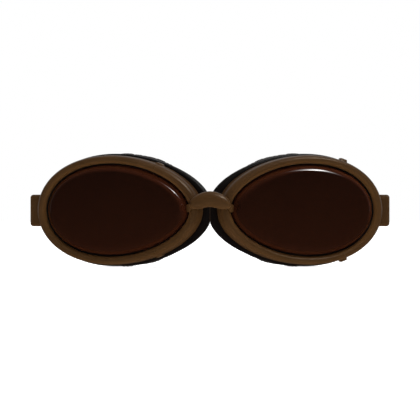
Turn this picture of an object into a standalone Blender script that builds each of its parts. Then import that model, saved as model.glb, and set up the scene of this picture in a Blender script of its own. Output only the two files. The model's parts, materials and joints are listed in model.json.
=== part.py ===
"""Pilot goggles: two turned eyepieces on an arched hinge bridge, held by a buckled head strap.

Metres, +Z up. The lenses look along -Y, and +X is to the right of someone who faces them.
The solids are laid out from the point midway between the two hinge axes, at eye height. Each moving
body hangs on an empty on its joint's axis, and all of them on one that puts the part's origin in the
middle of its footprint, on the surface that it stands on.
"""
import math

import bmesh
import bpy
from mathutils import Vector

# Fits
GAP = 0.0003
PIN_GAP = 0.00015
HAIR = 0.00005
OVERRUN = 0.002

# Eyepiece: an egg in its own plane, turned back from the bridge
WRAP = math.radians(17)
RIM_TO_MIDDLE = 0.005
EYE_Z = 0.00025
HALF_LENGTH = 0.04235
HALF_HEIGHT = 0.0271
EGG_SHARE = 0.103
RING_STEPS = 44

# Rim: a split ring of half-round front and channel back
RIM_WIDTH_TOP = 0.0042
RIM_WIDTH_NOSE = 0.0052
RIM_WIDTH_OUTER = 0.0047
RIM_CREST = 0.0038
RIM_LIP = 0.0007
RIM_WEB = 0.0012
REAR_LIP_REACH = 0.0023
REAR_LIP = 0.001
RIM_ROUND = 0.0004
CREST_STEPS = 7
CREST_SWEEP = math.radians(165)

# Closing ears of the split rim, where the photograph shows them
EAR_SPLIT_SHARES = {-1: -0.49, 1: 0.53}
EAR_PROUD = {-1: 0.0008, 1: 0.0014}
EAR_LENGTH = 0.0013
EAR_SPLIT = 0.0004
EAR_FLANK = 0.0002
EAR_SETBACK = 0.0009
CLOSING_SCREW_RADIUS = 0.00045

# Lens, its seal and the cup's front bead, stacked in the rim's channel
SEAL_LIP = 0.0006
SEAL_WALL = 0.0008
SEAL_REVEAL = 0.0004
LENS_FLANGE = 0.0014
LENS_WALL = 0.0015
LENS_ROLL_WIDTH = 0.0046
LENS_ROLL_RISE = 0.0043
LENS_DOME_RISE = 0.0008
LENS_ROLL_SHARES = ((0, 0), (0.12, 0.27), (0.35, 0.62), (0.65, 0.88))
LENS_DOME_SHARES = (1, 0.72, 0.4, 0.08)
LENS_BACK_SHARES = (1, 0.55, 0.08)
CUP_BEAD = 0.0012

# Cup: flares behind the rim, swells at the nose, then draws back to clear the wearer's nose
CUP_WALL = 0.0016
CUP_FLARE = 0.0009
CUP_SHOULDER = 0.0012
CUP_DEPTH = 0.0175
NOSE_SWELL = 0.0031
NOSE_SWELL_DEPTH = 0.0085
NOSE_RELIEF = 0.0074
NOSE_POWER = 6.5
NOSE_GAP = 0.0004
CUP_SWELL_SHARES = (0.45, 0.85, 1, 0.3, 0, 0)
CUP_RELIEF_SHARES = (0, 0, 0, 0.15, 0.62, 1)
CUP_REST_SHARES = (0.3, 0.65, 1)
SEAT_WIDTH = 0.0064
SEAT_THICKNESS = 0.0012

# Face cushion: half widths and depths of its crowned section
CUSHION_DEPTH = 0.007
CUSHION_HALF_WIDTH = 0.0035
CUSHION_SECTION_SHARES = (
    (0.68, 0), (0.95, 0.16), (1.0, 0.38), (0.82, 0.7), (0.52, 0.92), (0.24, 1.0))

# Bridge: an arched, rounded bar that ends in a lobe over each hinge
HINGE_X = 0.007
BRIDGE_HALF_LENGTH = 0.0102
BRIDGE_SPRING_Z = 0.003
BRIDGE_ARCH_RISE = 0.0065
BRIDGE_ARCH_POWER = 1.8
BRIDGE_HALF_DEPTH = 0.0034
BRIDGE_BELLY = 0.0026
BRIDGE_BELLY_MIDDLE = 0.0013
BRIDGE_END_POWER = 4
BRIDGE_STEPS = 16
BRIDGE_SIDES = 18
BRIDGE_END_TURN = math.radians(86)

# Hinge: tongue on the saddle, pin through the lobe
TONGUE_RADIUS = 0.002
TONGUE_DROP = 0.0008
TONGUE_HEIGHT = 0.0024
TONGUE_WEB = 0.0026
HINGE_PIN_RADIUS = 0.0008
HINGE_PIN_SUNK = 0.00035

# Saddle: a band over the rim with a taller pad on the lens side
SADDLE_THICKNESS = 0.0011
SADDLE_TOP_DROP = 0.00035
SADDLE_BAND_DROP = 0.0013
SADDLE_PAD_DROP = 0.00225
SADDLE_START = math.radians(-8)
SADDLE_END = math.radians(148)
SADDLE_STEPS = 9

# Strap lug: a U-shaped shackle on a curved foot
LUG_REACH = 0.0043
LUG_SIDE_ROOM = 0.00035
LUG_FRONT_DEPTH = 0.008
LUG_PLATE = 0.003
LUG_ARM = 0.0014
LUG_BEVEL = 0.0016
LUG_FOOT = 0.0017
LUG_FOOT_REAR = 0.0145
LUG_INSET = 0.0056
LUG_FOOT_STEPS = 8
RIVET_RADIUS = 0.0008
RIVET_HEAD = 0.0013
RIVET_EDGE = 0.0008
RIVET_DOME = 0.0006
RIVET_DOME_SHARES = ((1, 0), (0.8, 0.7), (0.3, 1))
RIVET_TAIL_SHARE = 0.7

# Strap pin in the shackle
STRAP_PIN_RADIUS = 0.001
LOOP_ROOM = 0.0042
LOOP_INSET = 0.0005

# Strap: two bands round the head, the long one folded back through the ring to the slider
STRAP_HALF_WIDTH = 0.00625
STRAP_THICKNESS = 0.0015
LOOP_CLEARANCE = 0.0003
STEM_LENGTH = 0.014
STEM_TAPER = 0.002
TEMPLE_X = 0.080
TEMPLE_Y = 0.112
REAR_Y = 0.192
REAR_HALF_RUN = 0.038
CORNER_PULL_SIDE = 0.046
CORNER_PULL_REAR = 0.026
CORNER_STEPS = 14

# Ring that joins the bands
RING_X = 0.014
RING_HALF_LENGTH = 0.005
RING_SIDE_ROOM = 0.00065
RING_WIRE = 0.0009
RING_CORNER = 0.002
CORNER_FACETS = 3
WIRE_SIDES = 8

# Slider: a formed box through which the long band runs
SLIDER_X = -0.024
SLIDER_LENGTH = 0.016
SLIDER_WALL = 0.0011
SLIDER_BAR = 0.0035
SLIDER_ROUND = 0.0006
LAYER_GAP = 0.0004
FOLD_EASE = 0.012
FOLD_STEPS = 8
RETURN_STEPS = 8

ROUND_SIDES = 16
PIN_SIDES = 12
SCREW_SIDES = 8
RIVET_SIDES = 10
LOOP_SIDES = 20
HALVINGS = 40

COS_WRAP = math.cos(WRAP)
SIN_WRAP = math.sin(WRAP)
SIDE_NAMES = {-1: "left", 1: "right"}

# Depths along the eyepiece's axis, forward positive, from the rim's base plane
SEAL_FRONT = RIM_LIP - GAP
LENS_FRONT = SEAL_FRONT - SEAL_LIP - GAP
LENS_BACK = LENS_FRONT - LENS_FLANGE
SEAL_BACK = LENS_BACK - GAP - SEAL_LIP
BEAD_FRONT = SEAL_BACK - GAP
BEAD_BACK = BEAD_FRONT - CUP_BEAD
RIM_LIP_BACK = BEAD_BACK - GAP
RIM_BACK = RIM_LIP_BACK - REAR_LIP
CUP_SHOULDER_FRONT = RIM_BACK - GAP

EAR_FRONT = -EAR_SETBACK
EAR_REAR = RIM_LIP_BACK + GAP

# Insets from the rim's outer line
CHANNEL_INSET = RIM_WEB + GAP
LENS_INSET = CHANNEL_INSET + SEAL_WALL + GAP
NECK_INSET = REAR_LIP_REACH + GAP
MEAN_RADIUS = math.sqrt(HALF_LENGTH * HALF_HEIGHT)

# Heights of the hinge and its saddle
TONGUE_LOW = BRIDGE_SPRING_Z - TONGUE_DROP
TONGUE_HIGH = TONGUE_LOW + TONGUE_HEIGHT
SADDLE_HIGH = TONGUE_HIGH - SADDLE_TOP_DROP
SADDLE_BAND_LOW = TONGUE_LOW - SADDLE_BAND_DROP
SADDLE_LOW = SADDLE_BAND_LOW - SADDLE_PAD_DROP
HINGE_TO_SADDLE = BRIDGE_HALF_DEPTH + GAP

# What the strap's width and thickness set
LOOP_RADIUS = STRAP_PIN_RADIUS + LOOP_CLEARANCE + STRAP_THICKNESS
LUG_SLOT_HALF_HEIGHT = STRAP_HALF_WIDTH + LUG_SIDE_ROOM
LUG_HALF_HEIGHT = LUG_SLOT_HALF_HEIGHT + LUG_ARM
RIVET_HEIGHT = LUG_SLOT_HALF_HEIGHT - RIVET_HEAD - RIVET_EDGE
RIVET_DEPTH = (LUG_FRONT_DEPTH + LUG_PLATE + LUG_FOOT_REAR) / 2
RING_HALF_HEIGHT = STRAP_HALF_WIDTH + RING_WIRE + RING_SIDE_ROOM

# The eyepiece's centre: its nose end stays by the bridge, and its crest clears the saddle in front
EYE_X = RIM_TO_MIDDLE + HALF_LENGTH * COS_WRAP
EYE_Y = (HINGE_TO_SADDLE + SADDLE_THICKNESS + GAP + RIM_CREST * COS_WRAP
         + (HALF_LENGTH - RIM_WIDTH_NOSE / 2) * SIN_WRAP)


def paint(name, colour, roughness, metallic=0.0, alpha=1.0):
    """A Principled material of one colour."""
    material = bpy.data.materials.new(name)
    material.use_nodes = True
    shader = material.node_tree.nodes["Principled BSDF"]
    shader.inputs["Base Color"].default_value = (*colour, 1.0)
    shader.inputs["Roughness"].default_value = roughness
    shader.inputs["Metallic"].default_value = metallic
    shader.inputs["Alpha"].default_value = alpha
    return material


def make_object(name, points, faces, material=None, smooth_angle=math.radians(40)):
    """A mesh object with its faces turned outward and its round surfaces shaded smooth."""
    mesh = bpy.data.meshes.new(name)
    mesh.from_pydata([tuple(point) for point in points], [], faces)
    work = bmesh.new()
    work.from_mesh(mesh)
    bmesh.ops.recalc_face_normals(work, faces=work.faces)
    work.to_mesh(mesh)
    work.free()
    mesh.shade_smooth()
    mesh.set_sharp_from_angle(angle=smooth_angle)
    thing = bpy.data.objects.new(name, mesh)
    bpy.context.scene.collection.objects.link(thing)
    if material:
        mesh.materials.append(material)
    else:
        thing.hide_render = True
        thing.display_type = 'WIRE'
    return thing


def join_rings(rings, closed=False):
    """Faces between successive rings of points; a closed run meets itself, an open one is capped."""
    size = len(rings[0])
    points = [point for ring in rings for point in ring]
    faces = []
    pairs = len(rings) if closed else len(rings) - 1
    for row in range(pairs):
        low, high = row * size, ((row + 1) % len(rings)) * size
        for k in range(size):
            nxt = (k + 1) % size
            faces.append((low + k, low + nxt, high + nxt, high + k))
    if not closed:
        last = (len(rings) - 1) * size
        faces += [range(size - 1, -1, -1), range(last, last + size)]
    return points, faces


def combine(target, tool, operation='DIFFERENCE'):
    """Cut the tool from the target, or join it on, with an exact Boolean."""
    modifier = target.modifiers.new(tool.name, 'BOOLEAN')
    modifier.operation = operation
    modifier.solver = 'EXACT'
    modifier.object = tool
    return target


def block(name, low, high, material=None, side=1):
    """A box between two corners, mirrored to the given side."""
    xs = (side * low[0], side * high[0])
    points = [Vector((x, y, z)) for x in xs for y in (low[1], high[1]) for z in (low[2], high[2])]
    faces = [(0, 1, 3, 2), (4, 6, 7, 5), (0, 4, 5, 1), (2, 3, 7, 6), (0, 2, 6, 4), (1, 5, 7, 3)]
    return make_object(name, points, faces, material)


def turned(name, profile, centre, axis, material=None, sides=ROUND_SIDES):
    """A solid of revolution: profile lists (radius, distance along the axis) from end to end."""
    axis = Vector(axis).normalized()
    across = axis.orthogonal().normalized()
    up = axis.cross(across)
    rings = []
    for radius, distance in profile:
        rings.append([
            Vector(centre) + axis * distance
            + (across * math.cos(k * math.tau / sides) + up * math.sin(k * math.tau / sides)) * radius
            for k in range(sides)])
    return make_object(name, *join_rings(rings), material)


def upright_rod(name, x, y, low, high, radius, material=None, sides=ROUND_SIDES):
    """A round bar along Z."""
    return turned(name, ((radius, low), (radius, high)), (x, y, 0), (0, 0, 1), material, sides)


def egg(turn):
    """A point of the rim's outer line and its outward normal; turn 0 is the nose, then over the top."""
    along = -HALF_LENGTH * math.cos(turn)
    up = HALF_HEIGHT * math.sin(turn) * (1 - EGG_SHARE * math.cos(turn))
    run = HALF_LENGTH * math.sin(turn)
    rise = HALF_HEIGHT * (math.cos(turn) - EGG_SHARE * math.cos(2 * turn))
    length = math.hypot(run, rise)
    return along, up, -rise / length, run / length


def turn_at_height(height, outer):
    """The turn where the rim's outer line reaches a height, on the outer or the nose end."""
    low, high = (math.pi / 2, 3 * math.pi / 2) if outer else (-math.pi / 2, math.pi / 2)
    for _ in range(HALVINGS):
        middle = (low + high) / 2
        if (egg(middle)[1] < height) != outer:
            low = middle
        else:
            high = middle
    return low


def rim_width(turn):
    """The rim is widest at the nose, narrower at the outer end and least at top and bottom."""
    end = RIM_WIDTH_NOSE if math.cos(turn) > 0 else RIM_WIDTH_OUTER
    return RIM_WIDTH_TOP + (end - RIM_WIDTH_TOP) * math.cos(turn) ** 2


def nose_share(turn):
    """One at the nose, falling smoothly to nothing round the outline."""
    return ((1 + math.cos(turn)) / 2) ** NOSE_POWER


def seat(side, along, up, forward):
    """Eyepiece coordinates to the part's frame."""
    return Vector((side * (EYE_X + along * COS_WRAP + forward * SIN_WRAP),
                   EYE_Y + along * SIN_WRAP - forward * COS_WRAP,
                   EYE_Z + up))


def on_rim(side, turn, inset, forward):
    """A point set in from the rim's outer line."""
    along, up, out_along, out_up = egg(turn)
    return seat(side, along - inset * out_along, up - inset * out_up, forward)


def rim_normal(side, turn):
    """The rim's outward normal in the part's frame."""
    out_along, out_up = egg(turn)[2:]
    return (seat(side, out_along, out_up, 0) - seat(side, 0, 0, 0)).normalized()


def full_turn():
    return [k * math.tau / RING_STEPS for k in range(RING_STEPS)]


def part_turn(start, end):
    """The two ends and the shared stations between them, so neighbours keep parallel facets."""
    step = math.tau / RING_STEPS
    inside = range(math.ceil(start / step), math.floor(end / step) + 1)
    margin = step / 8
    return [start] + [k * step for k in inside if start + margin < k * step < end - margin] + [end]


def sweep(name, side, section, turns, material=None, closed=False):
    """Carry a section round the rim; section(turn) lists (inset, forward) points."""
    rings = [[on_rim(side, turn, *place) for place in section(turn)] for turn in turns]
    return make_object(name, *join_rings(rings, closed), material)


def crest_point(turn, lean, offset=0.0):
    """A point of the rim's half-round, or off it along its normal."""
    half = rim_width(turn) / 2
    out = Vector((-math.cos(lean) / half, math.sin(lean) / RIM_CREST)).normalized()
    return (half * (1 - math.cos(lean)) + out.x * offset, RIM_CREST * math.sin(lean) + out.y * offset)


def rim_section(turn, proud=0.0):
    """Half-round front, web and rear lip of the clamping channel."""
    front = [crest_point(turn, k * CREST_SWEEP / (CREST_STEPS - 1)) for k in range(CREST_STEPS)]
    lip_edge = front[-1][0]
    return front + [
        (lip_edge, RIM_LIP), (RIM_WEB, RIM_LIP), (RIM_WEB, RIM_LIP_BACK),
        (REAR_LIP_REACH, RIM_LIP_BACK), (REAR_LIP_REACH, RIM_BACK), (RIM_ROUND, RIM_BACK),
        (0, RIM_BACK + RIM_ROUND), (-proud, EAR_REAR), (-proud, EAR_FRONT)]


def rim_half(name, side, start, end, material):
    """One half of the split rim, with a closing ear at each end."""
    proud = EAR_PROUD[side]
    ear, flank = EAR_LENGTH / MEAN_RADIUS, EAR_FLANK / MEAN_RADIUS
    turns = part_turn(start + ear + flank, end - ear - flank)
    stations = [(start, proud), (start + ear, proud)]
    stations += [(turn, 0.0) for turn in turns]
    stations += [(end - ear, proud), (end, proud)]
    rings = [[on_rim(side, turn, *place) for place in rim_section(turn, ear_proud)]
             for turn, ear_proud in stations]
    return make_object(name, *join_rings(rings), material)


def split_turns(side):
    """Where the rim is split, over the top and under the bottom."""
    top = math.acos(-EAR_SPLIT_SHARES[side])
    return top, math.tau - top


def make_rims(side, metal, steel):
    """Both rim halves and the two screws that close them on the lens and cup."""
    label = SIDE_NAMES[side]
    top, bottom = split_turns(side)
    half_split = EAR_SPLIT / 2 / MEAN_RADIUS
    nose = rim_half(f"{label}_rim_nose", side, bottom - math.tau + half_split, top - half_split, metal)
    outer = rim_half(f"{label}_rim_outer", side, top + half_split, bottom - half_split, metal)
    inset = (RIM_WEB - EAR_PROUD[side]) / 2
    forward = (EAR_FRONT + EAR_REAR) / 2
    half = EAR_LENGTH + EAR_SPLIT / 2
    for place, turn in (("top", top), ("bottom", bottom)):
        centre = on_rim(side, turn, inset, forward)
        axis = rim_normal(side, turn).cross(seat(side, 0, 0, 1) - seat(side, 0, 0, 0))
        radius, bore = CLOSING_SCREW_RADIUS, CLOSING_SCREW_RADIUS + PIN_GAP
        reach = half + EAR_FLANK + EAR_LENGTH / 2
        hole = turned(f"{label}_{place}_ear_bore", ((bore, -reach), (bore, reach)), centre, axis,
                      sides=SCREW_SIDES)
        combine(nose, hole)
        combine(outer, hole)
        turned(f"{label}_rim_screw_{place}", ((radius, -half), (radius, half)), centre, axis, steel,
               SCREW_SIDES)


def seal_section(turn):
    """A channel that wraps the lens edge; its front lip shows inside the rim."""
    width = rim_width(turn)
    wall = CHANNEL_INSET + SEAL_WALL
    return [(CHANNEL_INSET, SEAL_FRONT), (width + SEAL_REVEAL, SEAL_FRONT),
            (width + SEAL_REVEAL, SEAL_FRONT - SEAL_LIP), (wall, SEAL_FRONT - SEAL_LIP),
            (wall, SEAL_BACK + SEAL_LIP), (width, SEAL_BACK + SEAL_LIP),
            (width, SEAL_BACK), (CHANNEL_INSET, SEAL_BACK)]


def make_lens(side, glass):
    """A moulded lens: flat flange, upright wall, rolled edge band and a shallow dome."""
    turns = full_turn()
    roll_start = SEAL_REVEAL + GAP
    roll_end = roll_start + LENS_ROLL_WIDTH
    middle = seat(side, 0, 0, 0)

    def ring(inset, forward):
        return [on_rim(side, turn, inset(turn), forward) for turn in turns]

    def cap(share, base):
        lift = seat(side, 0, 0, base + LENS_DOME_RISE * (1 - share ** 2)) - middle
        return [middle + (point - middle) * share + lift
                for point in ring(lambda turn: rim_width(turn) + roll_end, 0)]

    front = [ring(lambda turn: rim_width(turn) + roll_start, LENS_FRONT)]
    front += [ring(lambda turn, s=share: rim_width(turn) + roll_start + LENS_ROLL_WIDTH * s,
                   LENS_FRONT + LENS_WALL + LENS_ROLL_RISE * rise) for share, rise in LENS_ROLL_SHARES]
    front += [cap(share, LENS_FRONT + LENS_WALL + LENS_ROLL_RISE) for share in LENS_DOME_SHARES]
    back = [cap(share, LENS_BACK + LENS_WALL + LENS_ROLL_RISE) for share in LENS_BACK_SHARES]
    edge = [ring(lambda turn: LENS_INSET, LENS_BACK), ring(lambda turn: LENS_INSET, LENS_FRONT)]
    foot = [ring(lambda turn: rim_width(turn) + roll_start + LENS_FLANGE, LENS_BACK + rise)
            for rise in (LENS_WALL, 0)]
    rings = back[::-1] + foot + edge + front
    return make_object(f"{SIDE_NAMES[side]}_lens", *join_rings(rings), glass)


def cup_lines(turn):
    """The cup's outer line from its front bead to its cushion seat."""
    nose = nose_share(turn)
    rest = CUP_DEPTH - NOSE_SWELL_DEPTH
    depths = [CUP_SHOULDER_FRONT, CUP_SHOULDER_FRONT - CUP_SHOULDER, -NOSE_SWELL_DEPTH]
    depths += [-NOSE_SWELL_DEPTH - rest * share for share in CUP_REST_SHARES]
    lines = [[nose * (NOSE_RELIEF * relief - NOSE_SWELL * swell) - CUP_FLARE, depth]
             for swell, relief, depth in zip(CUP_SWELL_SHARES, CUP_RELIEF_SHARES, depths)]
    lines[0][0] += CUP_SHOULDER
    return lines


def cup_section(turn):
    """Front bead, neck, flared wall and the inturned seat that carries the cushion."""
    width = rim_width(turn)
    outer = cup_lines(turn)
    seat_edge = outer[-1][0] + SEAT_WIDTH
    inner = [(seat_edge, -CUP_DEPTH), (seat_edge, -CUP_DEPTH + SEAT_THICKNESS)]
    inner += [(inset + CUP_WALL, depth) for inset, depth in outer[-2:1:-1]]
    inner += [(width, CUP_SHOULDER_FRONT - CUP_SHOULDER), (width, BEAD_FRONT)]
    return [(CHANNEL_INSET, BEAD_FRONT), (CHANNEL_INSET, BEAD_BACK), (NECK_INSET, BEAD_BACK),
            (NECK_INSET, CUP_SHOULDER_FRONT)] + outer + inner


def make_cup(side, shell):
    """The eyecup; its nose side stops at the middle plane, where the two cups meet."""
    rings = [[on_rim(side, turn, *place) for place in cup_section(turn)] for turn in full_turn()]
    for ring in rings:
        for point in ring:
            point.x = side * max(side * point.x, NOSE_GAP / 2)
    return make_object(f"{SIDE_NAMES[side]}_cup", *join_rings(rings, True), shell)


def cushion_section(turn):
    """A crowned pad, drawn in where it meets the cup and flat only where it lies on the face."""
    middle = cup_lines(turn)[-1][0] + SEAT_WIDTH / 2
    base = -CUP_DEPTH - GAP
    inner = [(middle + CUSHION_HALF_WIDTH * half, base - CUSHION_DEPTH * deep)
             for half, deep in CUSHION_SECTION_SHARES]
    outer = [(middle - CUSHION_HALF_WIDTH * half, base - CUSHION_DEPTH * deep)
             for half, deep in CUSHION_SECTION_SHARES]
    return inner + outer[::-1]


def saddle_section(turn):
    """A band that follows the rim's half-round at a small clearance."""
    leans = [SADDLE_START + k * (SADDLE_END - SADDLE_START) / (SADDLE_STEPS - 1)
             for k in range(SADDLE_STEPS)]
    near = [crest_point(turn, lean, GAP) for lean in leans]
    far = [crest_point(turn, lean, GAP + SADDLE_THICKNESS) for lean in leans]
    return near + far[::-1]


def make_saddle(side, metal):
    """The bracket over the rim, with the hinge tongue that enters the bridge's lobe."""
    label = SIDE_NAMES[side]
    start, end = (turn_at_height(height - EYE_Z, False) for height in (SADDLE_LOW, SADDLE_HIGH))
    saddle = sweep(f"{label}_hinge_saddle", side, saddle_section, [start, (start + end) / 2, end], metal)
    pad_edge = EYE_X - (HALF_LENGTH - RIM_WIDTH_NOSE) * COS_WRAP - GAP
    trim = block(f"{label}_saddle_trim", (0, 0, SADDLE_LOW - OVERRUN),
                 (pad_edge, EYE_Y, SADDLE_BAND_LOW), side=side)
    eye = upright_rod(f"{label}_tongue_eye", side * HINGE_X, 0, TONGUE_LOW, TONGUE_HIGH, TONGUE_RADIUS)
    web = block(f"{label}_tongue_web", (HINGE_X - TONGUE_WEB / 2, 0, TONGUE_LOW + HAIR),
                (HINGE_X + TONGUE_WEB / 2, HINGE_TO_SADDLE + SADDLE_THICKNESS / 2,
                 TONGUE_HIGH - HAIR), side=side)
    bore = upright_rod(f"{label}_tongue_bore", side * HINGE_X, 0, TONGUE_LOW - OVERRUN,
                       TONGUE_HIGH + OVERRUN, HINGE_PIN_RADIUS + PIN_GAP)
    combine(saddle, trim)
    combine(saddle, web, 'UNION')
    combine(saddle, eye, 'UNION')
    return combine(saddle, bore)


def bridge_top(x):
    share = (1 - (abs(x) / BRIDGE_HALF_LENGTH) ** BRIDGE_ARCH_POWER) ** (1 / BRIDGE_ARCH_POWER)
    return BRIDGE_SPRING_Z + BRIDGE_ARCH_RISE * share


def end_share(x):
    """Full along the bar, closing round its ends."""
    return (1 - (abs(x) / BRIDGE_HALF_LENGTH) ** BRIDGE_END_POWER) ** (1 / BRIDGE_END_POWER)


def bridge_bottom(x):
    """The underside is higher in the middle, where the bar arches over the nose."""
    ease = min(1.0, abs(x) / HINGE_X)
    ease = ease * ease * (3 - 2 * ease)
    belly = BRIDGE_BELLY_MIDDLE + (BRIDGE_BELLY - BRIDGE_BELLY_MIDDLE) * ease
    return BRIDGE_SPRING_Z - belly * end_share(x)


def make_bridge(metal):
    """The arched bar, pocketed from behind for each tongue and bored for each hinge pin."""
    rings = []
    for k in range(BRIDGE_STEPS + 1):
        x = BRIDGE_HALF_LENGTH * math.sin(BRIDGE_END_TURN * (2 * k / BRIDGE_STEPS - 1))
        top, bottom = bridge_top(x), bridge_bottom(x)
        depth = BRIDGE_HALF_DEPTH * end_share(x)
        turns = [step * math.tau / BRIDGE_SIDES for step in range(BRIDGE_SIDES)]
        rings.append([Vector((x, depth * math.cos(turn),
                              (top + bottom) / 2 + (top - bottom) / 2 * math.sin(turn)))
                      for turn in turns])
    bridge = make_object("bridge", *join_rings(rings), metal)
    for side, label in SIDE_NAMES.items():
        low, high = TONGUE_LOW - GAP, TONGUE_HIGH + GAP
        swing = BRIDGE_HALF_DEPTH * math.sin(WRAP) + GAP
        pocket = upright_rod(f"bridge_{label}_pocket", side * HINGE_X, 0, low, high, TONGUE_RADIUS + GAP)
        mouth = block(f"bridge_{label}_mouth", (HINGE_X - TONGUE_RADIUS - GAP, 0, low + HAIR),
                      (HINGE_X + TONGUE_WEB / 2 + swing + GAP, BRIDGE_HALF_DEPTH + OVERRUN,
                       high - HAIR), side=side)
        bore = upright_rod(f"bridge_{label}_bore", side * HINGE_X, 0, bridge_bottom(HINGE_X) - OVERRUN,
                           bridge_top(HINGE_X) + OVERRUN, HINGE_PIN_RADIUS + PIN_GAP)
        for cutter in (pocket, mouth, bore):
            combine(bridge, cutter)
    return bridge


def make_hinge_pin(side, steel):
    """The pin through a lobe and its tongue, sunk a little at both ends."""
    low = bridge_bottom(HINGE_X) + HINGE_PIN_SUNK
    high = bridge_top(HINGE_X + HINGE_PIN_RADIUS) - HINGE_PIN_SUNK
    return upright_rod(f"{SIDE_NAMES[side]}_hinge_pin", side * HINGE_X, 0, low, high, HINGE_PIN_RADIUS,
                       steel, PIN_SIDES)


def cup_wall(side, height, depth):
    """A point on the cup's outer wall at the outer end."""
    return on_rim(side, turn_at_height(height - EYE_Z, True), -CUP_FLARE, -depth)


def lug_front_y():
    return cup_wall(1, 0, LUG_FRONT_DEPTH).y


def lug_outer_x():
    """The lug stands out past the rim's outer end."""
    half = RIM_WIDTH_OUTER / 2
    contour = math.hypot(half * COS_WRAP, RIM_CREST * SIN_WRAP)
    return EYE_X + (HALF_LENGTH - half) * COS_WRAP + contour + LUG_REACH


def strap_pin_place():
    """The plan place of the strap pin: the strap's loop turns round it behind the lug's plate."""
    return lug_outer_x() - LOOP_INSET - LOOP_RADIUS, lug_front_y() + LUG_PLATE + LOOP_ROOM + LOOP_RADIUS


def make_lug(side, metal):
    """The shackle: a plate facing forward, two arms behind it and a foot on the cup's wall."""
    label = SIDE_NAMES[side]
    outer = lug_outer_x()
    pin_x, pin_y = strap_pin_place()
    front = lug_front_y()
    rear = pin_y + STRAP_PIN_RADIUS + LUG_ARM / 2
    lug = block(f"{label}_strap_lug", (outer - LUG_INSET, front, -LUG_HALF_HEIGHT),
                (outer, rear, LUG_HALF_HEIGHT), metal, side)
    bevel = lug.modifiers.new("rounded_edges", 'BEVEL')
    bevel.width = LUG_BEVEL
    bevel.segments = 3
    bevel.limit_method = 'WEIGHT'
    weights = lug.data.attributes.new("bevel_weight_edge", 'FLOAT', 'EDGE')
    for edge in lug.data.edges:
        ends = [lug.data.vertices[k].co for k in edge.vertices]
        on_front = all(abs(end.y - front) < GAP for end in ends)
        on_outside = all(abs(end.x) > outer - GAP for end in ends)
        level = ends[0].z == ends[1].z
        weights.data[edge.index].value = float(on_outside or (on_front and level))
    slot = block(f"{label}_lug_slot",
                 (outer - LUG_INSET - OVERRUN, front + LUG_PLATE, -LUG_SLOT_HALF_HEIGHT),
                 (outer + OVERRUN, rear + OVERRUN, LUG_SLOT_HALF_HEIGHT), side=side)

    def foot_section(turn):
        near, far = -CUP_FLARE - GAP, -CUP_FLARE - GAP - LUG_FOOT
        return [(near, -LUG_FRONT_DEPTH), (far, -LUG_FRONT_DEPTH), (far, -LUG_FOOT_REAR),
                (near, -LUG_FOOT_REAR)]

    foot_height = LUG_SLOT_HALF_HEIGHT - GAP
    low, high = (turn_at_height(sign * foot_height - EYE_Z, True) for sign in (1, -1))
    turns = [low + (high - low) * k / LUG_FOOT_STEPS for k in range(LUG_FOOT_STEPS + 1)]
    foot = sweep(f"{label}_lug_foot", side, foot_section, turns)
    combine(lug, slot)
    combine(lug, foot, 'UNION')
    bore = upright_rod(f"{label}_lug_bore", side * pin_x, pin_y, -LUG_HALF_HEIGHT - OVERRUN,
                       LUG_HALF_HEIGHT + OVERRUN, STRAP_PIN_RADIUS + PIN_GAP)
    combine(lug, bore)
    return lug


def make_rivets(side, lug, cup, steel):
    """Two rivets through the lug's foot and the cup's wall."""
    label = SIDE_NAMES[side]
    for place, height in (("top", RIVET_HEIGHT), ("bottom", -RIVET_HEIGHT)):
        centre = cup_wall(side, height, RIVET_DEPTH)
        axis = rim_normal(side, turn_at_height(height - EYE_Z, True))
        head = GAP + LUG_FOOT + GAP
        tail = -CUP_WALL - GAP
        profile = [(RIVET_HEAD * RIVET_TAIL_SHARE, tail - RIVET_DOME), (RIVET_HEAD, tail),
                   (RIVET_RADIUS, tail), (RIVET_RADIUS, head)]
        profile += [(RIVET_HEAD * out, head + RIVET_DOME * rise) for out, rise in RIVET_DOME_SHARES]
        turned(f"{label}_lug_rivet_{place}", profile, centre, axis, steel, RIVET_SIDES)
        bore = RIVET_RADIUS + PIN_GAP
        hole = turned(f"{label}_{place}_rivet_hole", ((bore, tail - OVERRUN), (bore, head + OVERRUN)),
                      centre, axis, sides=RIVET_SIDES)
        combine(lug, hole)
        combine(cup, hole)


def curve_points(start, start_pull, end_pull, end, steps):
    """Points of a cubic curve between two places of the plan."""
    corners = [Vector(place) for place in (start, start_pull, end_pull, end)]
    points = []
    for k in range(steps + 1):
        s = k / steps
        weights = ((1 - s) ** 3, 3 * s * (1 - s) ** 2, 3 * s * s * (1 - s), s ** 3)
        points.append(sum((corner * weight for corner, weight in zip(corners, weights)), Vector((0, 0))))
    return points


def ribbon(name, path, thicknesses, material):
    """A band on edge: a plan path of centre points, with the thickness at each."""
    rings = []
    for k, point in enumerate(path):
        along = (path[min(k + 1, len(path) - 1)] - path[max(k - 1, 0)]).normalized()
        across = Vector((-along.y, along.x)) * thicknesses[k] / 2
        rings.append([Vector((*(point + across * s), z)) for s, z in (
            (1, -STRAP_HALF_WIDTH), (1, STRAP_HALF_WIDTH), (-1, STRAP_HALF_WIDTH),
            (-1, -STRAP_HALF_WIDTH))])
    return make_object(name, *join_rings(rings), material)


def add_loop(band, name, x, y, pin_radius):
    """The sewn loop at a band's end, round a pin or bar."""
    inner = pin_radius + LOOP_CLEARANCE
    half = STRAP_HALF_WIDTH - HAIR
    loop = upright_rod(f"{name}_loop", x, y, -half, half, inner + STRAP_THICKNESS, sides=LOOP_SIDES)
    hole = upright_rod(f"{name}_loop_hole", x, y, -half - OVERRUN, half + OVERRUN, inner, sides=LOOP_SIDES)
    combine(band, loop, 'UNION')
    return combine(band, hole)


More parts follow.
